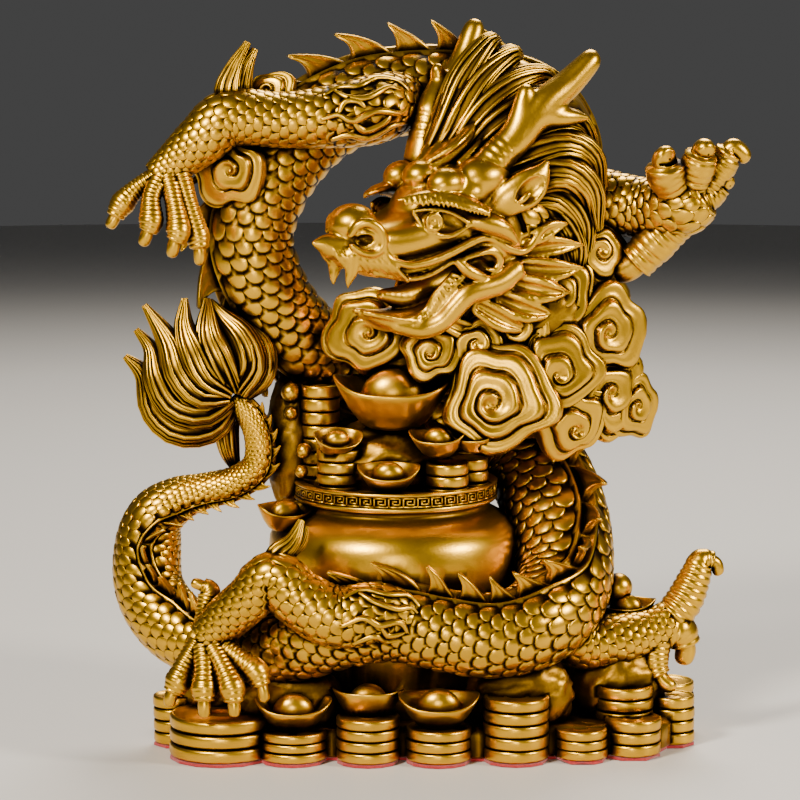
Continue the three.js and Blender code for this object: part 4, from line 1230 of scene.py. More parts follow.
    @staticmethod
    def _eyes(clay: Clay) -> None:
        """Almond sockets, ringed eyes, lids and the combed brows."""
        slope = math.atan2(9, 20)
        for side in (1, -1):
            out = unit((0.25, 0.05, side))
            long = unit(np.cross(np.cross(out, (math.cos(slope), math.sin(slope), 0)), out))
            axes = np.stack([long, np.cross(out, long), out])
            clay.egg((-3.5, 4, 20.5 * side), (11.5, 5.2, 4), 0.8, True, axes)
            clay.egg((0, 3.8, 16.8 * side), (5.6, 5.2, 5.2), 0.4)
            middle = np.array([0.4, 3.8, 17 * side]) + out * 4.4
            ring = round_line(middle, axes[0], axes[1], 3.5, 0.85)
            clay.egg(middle + out * 0.9, (2.9, 2.9, 1.6), 0.3, True, axes)
            clay.rod(ring, 0.3, spans=2)
            clay.egg(middle - out * 0.5, (1.3, 1.3, 1.0), 0.3, False, axes)
            upper = [(8, 9.5, 15.5, 0.9), (1, 9.6, 19.6, 1.3), (-7, 7, 22.4, 1.3), (-15, 0.5, 24.8, 0.9)]
            lower = [(8, 8.6, 15.5, 0.9), (4, 0.2, 19, 1.3), (-5, -3.4, 21.8, 1.4), (-15, 0, 24.8, 0.9)]
            for rows in (upper, lower):
                clay.rod(rows if side > 0 else far(rows), 0.5, spans=4)
            brow = np.array(BROW if side > 0 else far(BROW))
            clay.rod(brow, 1, flat=(0, 1, 0), thin=0.6)
            hang = unit([0.15, -1, 0.55 * side])
            for p in smooth_line(brow, 4)[1:-1]:
                a = p[:3] + [0, p[3] * 0.3, side * p[3] * 0.8]
                comb = [(0.0, 0.8), (0.9 + p[3] * 0.7, 1.25), (1.3 + p[3] * 1.15, 0.6)]
                clay.rod([[*(a + hang * fall), thick] for fall, thick in comb], 0.15, spans=1)

    @staticmethod
    def _nose(clay: Clay) -> None:
        """The round nose, its curled nostrils, and the moustache combed back from its pointed tip."""
        clay.egg((30, 6.5, 0), (10.5, 8.6, 11), 1.5)
        clay.rod([(30, 0, 0, 8), (39, -2, 0, 6.5), (45, 0, 0, 4), (51, 1.6, 0, 0.8)], 1.5)
        clay.rod([(34, -7, 0, 5.4), (24, -12.5, 0, 5.2), (14, -15, 0, 4.6)], 2, flat=(0, 0, 1), thin=2.1)
        for side in (1, -1):
            clay.egg((29, 1.5, 10 * side), (6, 5, 4.5), 1)
            wing = [(37, 3.5, 8.5, 1.4), (34, 7.5, 10.5, 1.9), (29.5, 8, 13, 2.2), (25.5, 4, 14.8, 2.2),
                    (25, -2, 15, 2), (28.5, -5.5, 14, 1.7), (33.5, -4.6, 12, 1.5), (37.5, -1, 9.5, 1.3)]
            clay.rod(wing if side > 0 else far(wing), 0.6)
            clay.egg((32.5, 0.8, 13 * side), (3.8, 2.6, 5), 0.6, True)
            for t in np.linspace(0, 1, 9):
                top = np.array([44, 0.5, 2.2]) * (1 - t) + np.array([25, -7, 14.4]) * t
                low = np.array([39.5, -10.5, 5]) * (1 - t) + np.array([14, -20.5, 14.8]) * t
                mid = (top + low) / 2 + [0.8, 0, 2.0]
                rows = [[*(top + [0, 0, 0.6]), 0.8], [*mid, 1.35], [*(low + [0, 0, 0.8]), 0.8]]
                clay.rod(rows if side > 0 else far(rows), 0.15, spans=3)

    @staticmethod
    def _lips(clay: Clay) -> None:
        """The rolled upper lip that runs on into a cheek leaf, the gum under it, and the leaves behind."""
        for rows in LEAVES:
            Head._leaf(clay, rows)
            Head._leaf(clay, far(rows))
        hollow = [[(a + g[0]) / 2, (b + g[1]) / 2, c + 1.6, 2.3] for (a, b, c, _), g in zip(LIP[4:10], GUM[1:])]
        clay.pair(hollow, 0.8, True)
        for rows in (LIP, GUM):
            clay.pair(rows, 0.5, spans=3)

    @staticmethod
    def _leaf(clay: Clay, rows: Sequence[Sequence[float]]) -> None:
        """A pointed leaf with a raised rim round a hollow."""
        line = smooth_line(np.array(rows, float), 6)
        way = unit(line[-1, :3] - line[0, :3])
        out = unit([0.3, 0, math.copysign(1, rows[0][2])])
        out = unit(out - way * (out @ way))
        up = np.cross(out, way)
        clay.rod(line, 0.6, flat=out, thin=0.5, spans=1)
        swell = line[:, 3] * np.sqrt(np.clip(1 - np.linspace(0, 1, len(line)) ** 3, 0.02, 1))
        dig = np.column_stack([line[:, :3] + out * (line[:, 3:] * 0.55), swell * 0.5])
        clay.rod(dig[:-2], 0.5, True, spans=1)
        for side in (1, -1):
            aside = (up * side * 0.85 + out * 0.2) * swell[:, None]
            rim = np.column_stack([line[:, :3] + aside, 0.3 + swell * 0.2])
            clay.rod(rim, 0.3, spans=1)

    @staticmethod
    def _ears(clay: Clay) -> None:
        """Leaf shaped ears with a drop shaped hollow."""
        for side in (1, -1):
            long = unit((-0.78, 0.6, 0.22 * side))
            out = unit(np.cross(np.cross(long, (0.35, 0.1, side)), long))
            axes = np.stack([long, np.cross(out, long), out])
            clay.rod([(-30, 4, 24 * side, 5), (-36, 8.5, 28 * side, 7.5), (-43, 12, 31 * side, 8.2),
                      (-48.5, 16.5, 32.5 * side, 5), (-54, 23, 33 * side, 0.6)], 1, flat=out, thin=0.5)
            clay.egg(np.array([-43.5, 11, 31 * side]) + out * 4.4, (8.6, 4.9, 4.2), 0.4, True, axes)
            clay.egg(np.array([-40, 8.5, 31 * side]) + out * 2.6, (4, 1.5, 1.5), 0.6, False, axes)

    @staticmethod
    def _crest(clay: Clay) -> None:
        """The flame leaf between the horns."""
        out = unit((0.62, 0.78, 0))
        leaf = [(-12, 24, 0, 6), (-24, 30, 0, 9.5), (-33, 35.5, 0, 7.4), (-43, 42.5, 0, 0.8)]
        clay.rod(leaf, 1.2, flat=out, thin=0.45)
        clay.rod([(-16, 30.5, 0, 3), (-25, 36, 0, 5), (-33, 40.5, 0, 2.6)], 0.5, True, flat=out, thin=0.5)
        for side in (1, -1):
            clay.rod([(-11, 27, 4 * side, 1.3), (-22, 32.5, 9 * side, 1.4), (-33, 37.5, 6.4 * side, 1.3),
                      (-44, 43.4, 0, 0.6)], 0.4)
            clay.rod([(-22, 25, 11 * side, 1.6), (-31, 30, 11 * side, 1.6), (-39, 33, 7 * side, 1.2),
                      (-46, 35, 5 * side, 0.6)], 0.5)

    @staticmethod
    def _horns(clay: Clay) -> None:
        """Smooth forked horns with worn rings at the root."""
        for rows in HORNS:
            clay.rod(rows, 2.5)
        for rows in (HORNS[0], HORNS[3]):
            line = smooth_line(np.array(rows, float), 12)
            for at, deep in ((8, 0.7), (11, 1.0), (14, 1.0), (17, 0.7)):
                way = unit(line[at + 1, :3] - line[at - 1, :3])
                one = unit(np.cross(way, (0, 1, 0.3)))
                two = np.cross(way, one)
                ring = round_line(line[at, :3], one, two, line[at, 3] + 0.3, 0.4 + deep * 0.35)
                clay.rod(ring, 0.7, True, spans=2)


# The mass that the mane lies on: its centre and half sizes.
MANE_MASS = ((53, 2, 256), (24, 22, 38))
# Locks of hair from root to tip: x, y, z and radius.
LOCKS = {
    "mane": [
        [(-2, -15, 258, 6), (8, -12, 276, 9), (16, -6, 296, 9), (26, 0, 311, 6), (31, 3, 314, 2)],
        [(4, -16, 262, 6), (14, -12, 280, 9), (24, -6, 296, 9), (36, 2, 306, 6), (41, 6, 306, 2)],
        [(10, -18, 262, 6), (22, -13, 280, 9), (36, -7, 292, 9), (50, 1, 297, 6), (57, 5, 294, 2)],
        [(15, -19, 260, 6), (28, -15, 275, 9), (44, -10, 285, 9), (58, -4, 287, 6), (66, 0, 281, 2)],
        [(18, -21, 256, 6), (34, -18, 268, 9), (52, -14, 276, 9), (66, -8, 275, 7), (74, -2, 264, 2.5)],
        [(22, -22, 252, 6), (40, -21, 261, 9), (58, -18, 267, 9), (71, -12, 262, 7), (77, -5, 248, 2.5)],
        [(24, -23, 247, 6), (42, -23, 253, 9), (59, -21, 256, 9), (71, -15, 247, 7), (75, -9, 230, 2.5)],
        [(24, -21, 241, 6), (42, -19, 245, 8.5), (57, -15, 244, 8.5), (68, -9, 232, 6.5), (70, -5, 214, 2.5)],
        [(26, -18, 235, 6), (42, -16, 237, 9), (56, -13, 234, 8.5), (65, -8, 221, 6.5), (65, -5, 205, 2)],
        [(24, -17, 230, 6), (40, -15, 229, 8), (53, -11, 223, 8), (59, -7, 210, 6), (57, -4, 198, 1.5)],
        [(6, -4, 268, 6), (18, 2, 288, 9), (30, 8, 302, 8), (40, 13, 306, 2)],
        [(18, 4, 268, 7), (34, 10, 284, 9), (52, 13, 290, 8), (62, 14, 284, 2)],
        [(34, 6, 262, 8), (54, 12, 272, 9), (68, 13, 270, 8), (76, 10, 254, 2)],
        [(40, 10, 250, 8), (60, 16, 256, 9), (73, 12, 248, 7), (75, 6, 230, 2)],
        [(40, 14, 238, 8), (58, 18, 240, 9), (70, 14, 230, 7), (70, 8, 212, 2)],
        [(36, 16, 226, 8), (52, 20, 226, 9), (64, 16, 216, 7), (64, 10, 200, 2)],
    ],
    "elbow_and_knee_hair": [
        [(-86, -17, 281, 6), (-89, -16, 291, 6.5), (-86, -14, 302, 4), (-80, -12, 313, 1.5)],
        [(-82, -12, 282, 6), (-84, -11, 292, 6.5), (-81, -11, 303, 4), (-77, -10, 310, 1.5)],
        [(-69, -62, 84, 6), (-66, -61, 92, 6), (-60, -60, 98, 4), (-56, -57, 107, 1.5)],
        [(-66, -57, 84, 6), (-63, -57, 92, 5), (-57, -56, 97, 3.5), (-54, -55, 104, 1.5)],
    ],
    "tail_hair": [
        [(-88, -8, 153, 5), (-97, -9, 141, 7), (-112, -10, 140, 8), (-123, -9, 149, 7), (-127, -8, 164, 5),
         (-136, -8, 173, 1.5)],
        [(-89, -11, 154, 5), (-101, -14, 148, 8), (-114, -14, 152, 8), (-121, -12, 164, 7), (-124, -9, 176, 4),
         (-131, -8, 185, 1.5)],
        [(-90, -13, 155, 5), (-102, -16, 156, 8), (-111, -16, 166, 8), (-116, -12, 180, 6), (-127, -9, 196, 1.5)],
        [(-89, -13, 157, 5), (-99, -16, 164, 8), (-105, -15, 176, 8), (-109, -12, 187, 5), (-109, -9, 199, 1.5)],
        [(-87, -12, 158, 5), (-93, -15, 171, 8), (-98, -14, 183, 7), (-99, -9, 199, 1.5)],
        [(-85, -11, 157, 5), (-79, -12, 169, 8), (-83, -12, 182, 7), (-92, -9, 191, 4), (-98, -8, 198, 1.5)],
        [(-83, -8, 155, 4), (-75, -8, 165, 7), (-75, -8, 178, 6), (-84, -8, 188, 2)],
        [(-88, -6, 152, 5), (-91, -1, 141, 6), (-90, 1, 129, 5), (-86, 2, 118, 1.5)],
        [(-88, -4, 156, 5), (-98, -4, 160, 8), (-108, -4, 172, 8), (-112, -5, 186, 4)],
        [(-87, -4, 156, 5), (-90, -4, 170, 8), (-95, -5, 184, 6), (-98, -6, 195, 2)],
    ],
}


@dataclass
class Hair:
    """Locks of combed hair: each is a bundle of strands that swells, bends and closes to a tip."""

    shop: Workshop
    strands: int = 24
    thick: float = 0.175
    seat: float = 0.83
    core: float = 0.78
    knots: int = 20
    ridge: tuple[float, float, float] = (0.0, -1.0, 0.2)

    def build(self) -> None:
        """Makes every lock, and the mass that the mane lies on."""
        for name, locks in LOCKS.items():
            points, edges, radii = [], [], []
            for rows in locks:
                self._lock(rows, points, edges, radii)
            mesh = bpy.data.meshes.new(name)
            mesh.from_pydata(in_metres(points).tolist(), edges, [])
            mesh.attributes.new("thick", "FLOAT", "POINT").data.foreach_set("value", np.array(radii) * MM)
            source = bpy.data.objects.new(name, mesh)
            bpy.context.scene.collection.objects.link(source)
            self.shop.keep(name, self.shop.recipes.hair.cook(source, Metal=self.shop.metal, Sides=5))
            for rows in locks:
                path = Path.through(rows, self.ridge)
                skin = tube_shape(path.length, np.arange(10) / 10 * TURN, 0.4, lambda u, a: np.full_like(u, self.core))
                self.shop.wrap(name, skin, path)
        at, size = MANE_MASS
        bow = np.linspace(-1.5, 1.5, 16)
        ball = turned(list(zip(np.cos(bow), np.sin(bow))), 28)
        self.shop.dress("mane", Shape(ball.points * np.array(size), ball.faces).at(at))

    def _lock(self, rows: Sequence[Sequence[float]], points: list, edges: list, radii: list) -> None:
        """Adds one lock's strands to the lists of points, edges and radii."""
        path = Path.through(rows, self.ridge)
        keep = np.unique(np.linspace(0, len(path.centre) - 1, self.knots).astype(int))
        share = np.linspace(0, 1, len(keep))
        for k in range(self.strands):
            turn = k / self.strands * TURN
            wave = turn + 0.25 * np.sin(3.0 * share + k)
            ridge, side = path.ridge[keep], path.side[keep]
            out = ridge * np.cos(wave)[:, None] + side * np.sin(wave)[:, None]
            radius = np.linalg.norm(ridge, axis=1)
            start = len(points)
            points.extend((path.centre[keep] + out * self.seat).tolist())
            edges.extend([(start + i, start + i + 1) for i in range(len(keep) - 1)])
            radii.extend((radius * self.thick * (0.75 + 0.25 * math.sin(5.0 * k))).tolist())


# Flames on the legs: how far along, in radii, and the angle round.
FLAMES = {
    "upper_left_leg": [
        [(3.65, 0.75), (3.05, 0.95), (2.45, 0.8), (1.95, 0.95), (1.45, 0.6), (1.25, 0.1)],
        [(3.25, 0.9), (2.85, 0.5), (2.35, 0.35), (1.85, 0.5), (1.55, 0.25)],
        [(3.85, -0.1), (3.25, 0.0), (2.80, -0.25), (2.25, -0.1), (1.75, -0.35), (1.45, -0.2)],
        [(3.25, 0.0), (2.95, 0.35), (2.60, 0.3), (2.45, 0.05)],
        [(3.55, -0.85), (2.95, -0.7), (2.45, -0.9), (1.95, -0.65), (1.45, -0.8)],
        [(2.80, -0.25), (2.55, -0.6), (2.15, -0.5), (1.95, -0.25)],
    ],
    "lower_left_leg": [
        [(3.95, 0.7), (3.25, 0.95), (2.65, 0.75), (2.05, 0.95), (1.55, 0.6), (1.15, 0.7)],
        [(3.35, 0.9), (2.95, 0.45), (2.45, 0.3), (1.95, 0.5), (1.55, 0.3)],
        [(4.05, -0.2), (3.35, 0.0), (2.85, -0.3), (2.25, -0.1), (1.75, -0.4), (1.35, -0.2)],
        [(3.75, -0.9), (3.05, -0.7), (2.45, -0.95), (1.85, -0.7), (1.35, -0.9)],
        [(2.85, -0.3), (2.55, -0.65), (2.15, -0.55), (1.85, -0.3)],
    ],
}
# The rows of each limb and of its toes: x, y, z and radius.
LIMBS = {
    "upper_left_leg": (
        [(-10, 14, 287, 12), (-25, -6, 283, 14.5), (-45, -12, 280, 13), (-66, -15, 279, 11.5), (-88, -17, 280, 12),
         (-100, -19, 271, 11), (-113, -20, 260, 8.5), (-121, -21, 253, 7)],
        [
            [(-117, -22, 256, 5.5), (-128, -24, 250, 4.5), (-135, -26, 243, 5.5), (-139, -27, 236, 3.5),
             (-141, -27, 232, 1)],
            [(-118, -24, 254, 5.5), (-122, -30, 246, 4.5), (-122, -34, 236, 5.5), (-124, -35, 230, 3.5),
             (-126, -34, 225, 1)],
            [(-115, -24, 254, 5.5), (-112, -31, 244, 4.5), (-110, -36, 232, 5.5), (-112, -37, 226, 3.5),
             (-113, -36, 220, 1)],
            [(-110, -23, 255, 5.5), (-106, -28, 243, 4.5), (-102, -30, 229, 5.5), (-101, -31, 222, 3.5),
             (-101, -30, 216, 1)],
        ],
    ),
    "lower_left_leg": (
        [(4, -56, 58, 9), (-20, -65, 67, 12.5), (-41, -67, 66, 13), (-57, -66, 74, 12), (-68, -63, 83, 11),
         (-79, -62, 73, 10), (-90, -60, 63, 9.5), (-99, -60, 54, 8)],
        [
            [(-99, -56, 56, 5.5), (-98, -52, 66, 5), (-97, -50, 74, 5), (-101, -50, 77, 3), (-105, -50, 78, 1)],
            [(-101, -60, 53, 5.5), (-107, -64, 44, 5), (-110, -66, 37, 6), (-113, -67, 31, 3.5), (-114, -67, 26, 1)],
            [(-99, -63, 52, 5.5), (-98, -70, 43, 5), (-98, -74, 35, 6), (-98, -76, 29, 3.5), (-98, -76, 23, 1)],
            [(-96, -63, 53, 5.5), (-90, -71, 44, 5), (-86, -76, 36, 6), (-85, -78, 29, 3.5), (-85, -78, 24, 1)],
            [(-93, -61, 54, 5.5), (-83, -67, 47, 5), (-76, -70, 42, 6), (-73, -72, 35, 3.5), (-72, -72, 29, 1)],
        ],
    ),
    "upper_right_leg": (
        [(54, 16, 254, 11), (70, 14, 244, 13), (95, 8, 238, 13), (113, -4, 240, 13), (122, -6, 246, 10)],
        [
            [(110, -8, 246, 8), (105, -14, 255, 9), (104, -17, 262, 7), (106, -20, 262, 3)],
            [(116, -8, 248, 8), (119, -13, 259, 8), (121, -16, 266, 6), (123, -20, 264, 2.5)],
            [(121, -4, 248, 8), (130, -5, 259, 7.5), (135, -6, 266, 5), (142, -5, 260, 1.5)],
            [(116, -6, 240, 9), (126, -2, 246, 7), (131, -2, 251, 5), (134, -6, 249, 2)],
            [(114, -4, 236, 9), (101, 0, 223, 9.5), (90, 2, 212, 8.5), (80, 6, 208, 7)],
        ],
    ),
    "lower_right_leg": (
        [(52, -36, 60, 11), (68, -30, 48, 12), (84, -28, 48, 11), (98, -25, 51, 9.5), (108, -23, 56, 8.5)],
        [
            [(106, -23, 54, 8.5), (114, -21, 64, 8.8), (119, -20, 75, 7.5), (122, -19, 82, 5.5), (128, -18, 81, 3.8),
             (130, -18, 75, 1)],
            [(106, -23, 52, 9), (112, -22, 50, 8.5), (115, -21, 42, 6), (113, -21, 35, 2.5)],
            [(102, -25, 50, 8), (101, -28, 38, 6), (104, -30, 30, 5), (110, -32, 26, 2)],
        ],
    ),
}


@dataclass
class Pot:
    """The treasure pot: polished belly, waist, and a band of square keys round the rim."""

    shop: Workshop
    centre: tuple[float, float] = (-15, 0)
    rim: float = 45
    top: float = 116.5
    band: float = 8.5
    band_middle: float = 4.5
    band_depth: float = 0.3
    keys: int = 44

    def build(self) -> None:
        """Makes the pot and its band."""
        low = self.top - self.band
        profile = [
            (34, 11.5), (40, 12), (44, 22), (49.5, 44), (54.5, 62), (56.8, 74), (57.4, 84), (56.8, 91), (54.6, 96),
            (50, 100), (45.5, 102.5), (42.5, 104), (41.4, 105.5), (41.8, 106.8), (43.4, 107.4), (45.2, 107.8),
            (45.9, 108.6), (45.9, 109.6), (45.2, 110.2), (44.9, 110.4), (44.9, 114.6), (45.2, 114.8), (45.9, 115.2),
            (46, 116.2), (45.2, self.top), (42, self.top), (40, self.top - 1.5),
        ]
        self.shop.dress("pot", turned(profile, 96).at((*self.centre, 0)))
        key = self._key().piece("pot", True)
        middle = in_metres([*self.centre, low + self.band_middle]).tolist()
        band = self.shop.recipes.ring.cook(
            key, Metal=self.shop.metal, Count=self.keys, Radius=(self.rim - self.band_depth) * MM, Place=middle,
        )
        self.shop.keep("pot", band)

    def _key(self) -> Shape:
        """One square spiral of the band, facing +X, in metres."""
        wide = TURN * self.rim / self.keys
        w, h, bar = wide * 0.92, 3.9, 0.62
        turns = [(-w / 2, -h / 2, w / 2, -h / 2), (-w / 2, -h / 2, -w / 2, h / 2), (-w / 2, h / 2, w * 0.32, h / 2),
                 (w * 0.32, h / 2, w * 0.32, -h * 0.2), (w * 0.32, -h * 0.2, -w * 0.2, -h * 0.2),
                 (-w * 0.2, -h * 0.2, -w * 0.2, h * 0.16), (-w * 0.2, h * 0.16, w * 0.06, h * 0.16)]
        bars = []
        for x0, z0, x1, z1 in turns:
            low_y, high_y = min(x0, x1) - bar / 2, max(x0, x1) + bar / 2
            low_z, high_z = min(z0, z1) - bar / 2, max(z0, z1) + bar / 2
            corners = np.array([(low_y, low_z), (high_y, low_z), (high_y, high_z), (low_y, high_z)])
            middle = corners.mean(0)
            rows = [
                np.column_stack([np.full(4, x), middle + (corners - middle) * share])
                for x, share in ((0, 1), (0.75, 0.96))
            ]
            bars.append(capped(np.array(rows)))
        shape = Shape.joined(bars)
        return Shape(shape.points * MM, shape.faces)


# Stacks of coins: x, y, radius, underside, thickness of a coin and how many.
STACKS = [
    (-92, -50, 23, FOOT, 6.3, 3), (-113, -26, 10.5, FOOT, 5.4, 4), (-60, -58, 15, FOOT, 4.3, 3),
    (-27, -60, 14, FOOT, 4.9, 4), (4, -60, 14.5, FOOT, 4.9, 3), (38, -58, 14.5, FOOT, 5.6, 5),
    (67, -56, 11.5, FOOT, 4.4, 3), (90, -48, 12.5, FOOT, 5.4, 3), (87, -34, 13, FOOT, 5.6, 5),
    (109, -26, 10, FOOT, 5.4, 4), (108, 4, 13, FOOT, 5.4, 4), (88, 34, 15, FOOT, 5.4, 4), (52, 52, 15, FOOT, 5.4, 3),
    (20, 58, 14, FOOT, 5, 3), (-12, 60, 15, FOOT, 5.4, 4), (-46, 56, 14, FOOT, 5, 3), (-78, 42, 16, FOOT, 5.4, 4),
    (-106, 14, 14, FOOT, 5.4, 3), (-79, -18, 9, 12, 5.1, 10), (-40, -21, 10, 112, 5.4, 4), (-49, -2, 9, 112, 6, 8),
    (8, -27, 9.5, 112, 5.4, 3), (18, -13, 8.5, 112, 5.4, 3),
]
# Ingots: x, y, z, half length, and their turn and tilt in degrees.
INGOTS = [
    (-16, -18, 143, 27, 0, 8), (-42, -26, 132.5, 11.5, 20, 30), (-18, -36, 117, 14, 0, 20), (4, -31, 132, 13, -10, 14),
    (20, -32, 134, 10, -20, 14), (-65, -20, 97, 14, 30, 14), (-60, -58, 14, 17, 5, 12), (-27, -56, 18, 16, 0, -12),
    (4, -60, 16, 18, 0, 14), (89, -15, 53, 14, -20, 10), (-79, -19, 61, 10, 60, 12), (-40, 50, 16, 18, 185, 12),
    (20, 52, 16, 18, 175, 12),
]
# Pearls: x, y, z and radius.
PEARLS = [
    (-79, -20, 75, 6.5), (85, -14, 69, 6.5), (-62, -4, 156, 4.5), (-62, -7, 147, 3), (-56, -14, 131, 3.5),
    (-57, -16, 122, 3),
]


@dataclass
class Treasure:
    """Coins in stacks, boat shaped ingots and a few pearls."""

    shop: Workshop
    slip: float = 0.0002

    def build(self) -> None:
        """Makes them all."""
        for number, (x, y, r, low, thick, count) in enumerate(STACKS):
            place = in_metres([x, y, low]).tolist()
            stack = self.shop.recipes.stack.cook(
                self._coin().piece("coins", True), Metal=self.shop.metal, Count=count, Pitch=thick * MM, Place=place,
                Size=r * MM, Slip=self.slip, Seed=number,
            )
            self.shop.keep("coins", stack)
        for x, y, z, half, spin, tilt in INGOTS:
            a, b = math.radians(tilt), math.radians(spin)
            lean = np.array([[1, 0, 0], [0, math.cos(a), -math.sin(a)], [0, math.sin(a), math.cos(a)]])
            turn = np.array([[math.cos(b), -math.sin(b), 0], [math.sin(b), math.cos(b), 0], [0, 0, 1]])
            self.shop.dress("ingots", self._ingot(half).at((x, y, z), turn @ lean))
        for x, y, z, r in PEARLS:
            bow = np.linspace(-1.45, 1.45, 13)
            ball = turned(list(zip(np.cos(bow) * r, np.sin(bow) * r)), 20)
            self.shop.dress("ingots", ball.at((x, y, z)))

    @staticmethod
    def _coin() -> Shape:
        """A coin of radius one and height one, with a raised rim and a sunk field."""
        profile = [(0.9, 0.0), (0.975, 0.05), (1.0, 0.2), (1.0, 0.72), (0.985, 0.86), (0.94, 0.93), (0.9, 0.9),
                   (0.86, 0.8), (0.4, 0.79), (0.36, 0.86), (0.3, 0.86), (0.27, 0.72)]
        return turned(profile, 30)

    @staticmethod
    def _ingot(half: float) -> Shape:
        """An ingot: an oval boat whose rim rises at both ends, round a dome."""
        profile = [(0.3, 0.02), (0.44, 0.0), (0.56, 0.09), (0.74, 0.3), (0.92, 0.53), (0.985, 0.62), (0.995, 0.66),
                   (0.97, 0.685), (0.92, 0.67), (0.82, 0.585), (0.7, 0.51), (0.6, 0.475), (0.55, 0.49), (0.53, 0.56),
                   (0.5, 0.66), (0.44, 0.77), (0.34, 0.87), (0.22, 0.94), (0.1, 0.975)]
        shape = turned(profile, 44)
        p = shape.points
        rim = np.maximum(np.hypot(p[:, 0], p[:, 1]), 1e-6)
        p[:, 2] += np.where(rim > 0.7, 0.42 * (p[:, 0] / rim) ** 4 * (rim - 0.7) * 1.6, 0)
        p[:, 1] *= 0.66
        return Shape(p * half, shape.faces)


# Scrolls: x, y, z, radius, the way they face, the turn of the lobes and the way the curl sits.
CLOUDS = [
    (-29, -14, 185, 19, -0.3, -0.95, 0.1, 0.4, 0.0), (1, -28, 179, 14, 0, -0.95, 0.2, 1.2, 4.4),
    (20, -24, 178, 16, 0.1, -0.95, 0, 2.0, 1.6), (54, -12, 198, 21, 0.2, -0.95, 0.1, 0.9, 1.0),
    (80, -6, 184, 20, 0.45, -0.9, 0, 1.6, 3.1), (58, -20, 170, 19, 0.25, -0.95, 0, 0.2, 4.0),
    (31, -30, 158, 25, 0, -0.98, 0.15, 2.6, 3.9), (62, -14, 146, 18, 0.3, -0.9, -0.2, 1.1, 5.2),
    (81, -2, 155, 20, 0.5, -0.85, 0, 0.7, 2.8), (75, 0, 216, 16, 0.4, -0.9, 0.1, 2.2, 1.8),
    (-89, -11, 256, 17, -0.3, -0.95, -0.1, 1.4, 0.6), (-70, -4, 287, 13, -0.2, -0.9, 0.4, 0.5, 2.0),
    (38, -16, 184, 22, -0.1, -0.95, -0.05, 1.9, 1.4), (92, 4, 148, 15, 0.6, -0.75, -0.1, 1.7, 2.6),
    (64, 32, 196, 26, 0.3, 0.95, 0.1, 0.8, 1.0), (30, 34, 178, 26, -0.1, 0.98, 0.1, 2.1, 4.0),
    (66, 32, 158, 24, 0.3, 0.95, 0, 1.5, 2.4), (-2, 38, 172, 20, -0.2, 0.95, 0.2, 0.3, 5.0),
]


@dataclass
class Clouds:
    """Cloud scrolls: wavy petals in steps, which wind up into a curl that sits to one side."""

    shop: Workshop
    pitch: float = 0.4
    shift: float = 0.25

    def build(self) -> None:
        """Makes every scroll."""
        for x, y, z, r, nx, ny, nz, spin, lean in CLOUDS:
            self.shop.dress("clouds", self._scroll(r, spin, lean).at((x, y, z), facing((nx, ny, nz))))

    def _scroll(self, r: float, spin: float, lean: float) -> Shape:
        """One scroll, facing +Z.

        Args:
            r: its radius.
            spin: the turn of its lobes.
            lean: the way in which its curl sits.

        Returns:
            The closed scroll.
        """
        rings, around = 44, 60
        share = np.linspace(1, 0.012, rings)[:, None]
        angle = (np.arange(around) / around * TURN)[None, :]
        waves = ((0.08, 5, 3), (0.07, 3, 5), (0.02, 8, 1))
        lobes = sum(high * np.cos(count * angle + spin * turn) for high, count, turn in waves)
        reach = share * (1 + lobes * smooth(share, 0.1, 0.75)) * r
        pitch = self.pitch * min(1.0, 20 / r)
        wind = (share / pitch - angle / TURN + spin) % 1.0
        petal = 0.45 * smooth(wind, 0, 0.16) + 0.55 * smooth(wind, 0.16, 0.8) - smooth(wind, 0.88, 1.0)
        high = 0.4 * (1 - share**1.5) + 0.16 * petal * smooth(share, 0, 0.2) - 0.1 * smooth(share, 0.95, 1.0)
        aside = self.shift * r * (1 - share)
        top = np.stack([
            reach * np.cos(angle) + aside * math.cos(lean), reach * np.sin(angle) + aside * math.sin(lean), high * r,
        ], -1)
        edge = top[0].copy()
        edge[:, 2] -= 0.16 * r
        under = edge * [0.75, 0.75, 1] - [0, 0, 0.26 * r]
        return capped(np.concatenate([[under, edge], top]))


# Lumps of rough ground: x, y, z and half sizes.
ROCKS = [
    (-60, -46, 20, 24, 12, 22), (40, -44, 26, 24, 14, 22), (84, -24, 26, 22, 16, 22), (-98, -24, 24, 16, 14, 14),
    (60, 8, 50, 24, 26, 42), (-20, 30, 128, 40, 20, 18), (-19, -5, 124, 29, 27, 21), (-61, 6, 132, 13, 14, 34),
    (44, 4, 192, 32, 30, 34), (48, 8, 160, 30, 30, 26), (2, 6, 175, 38, 30, 21),
]


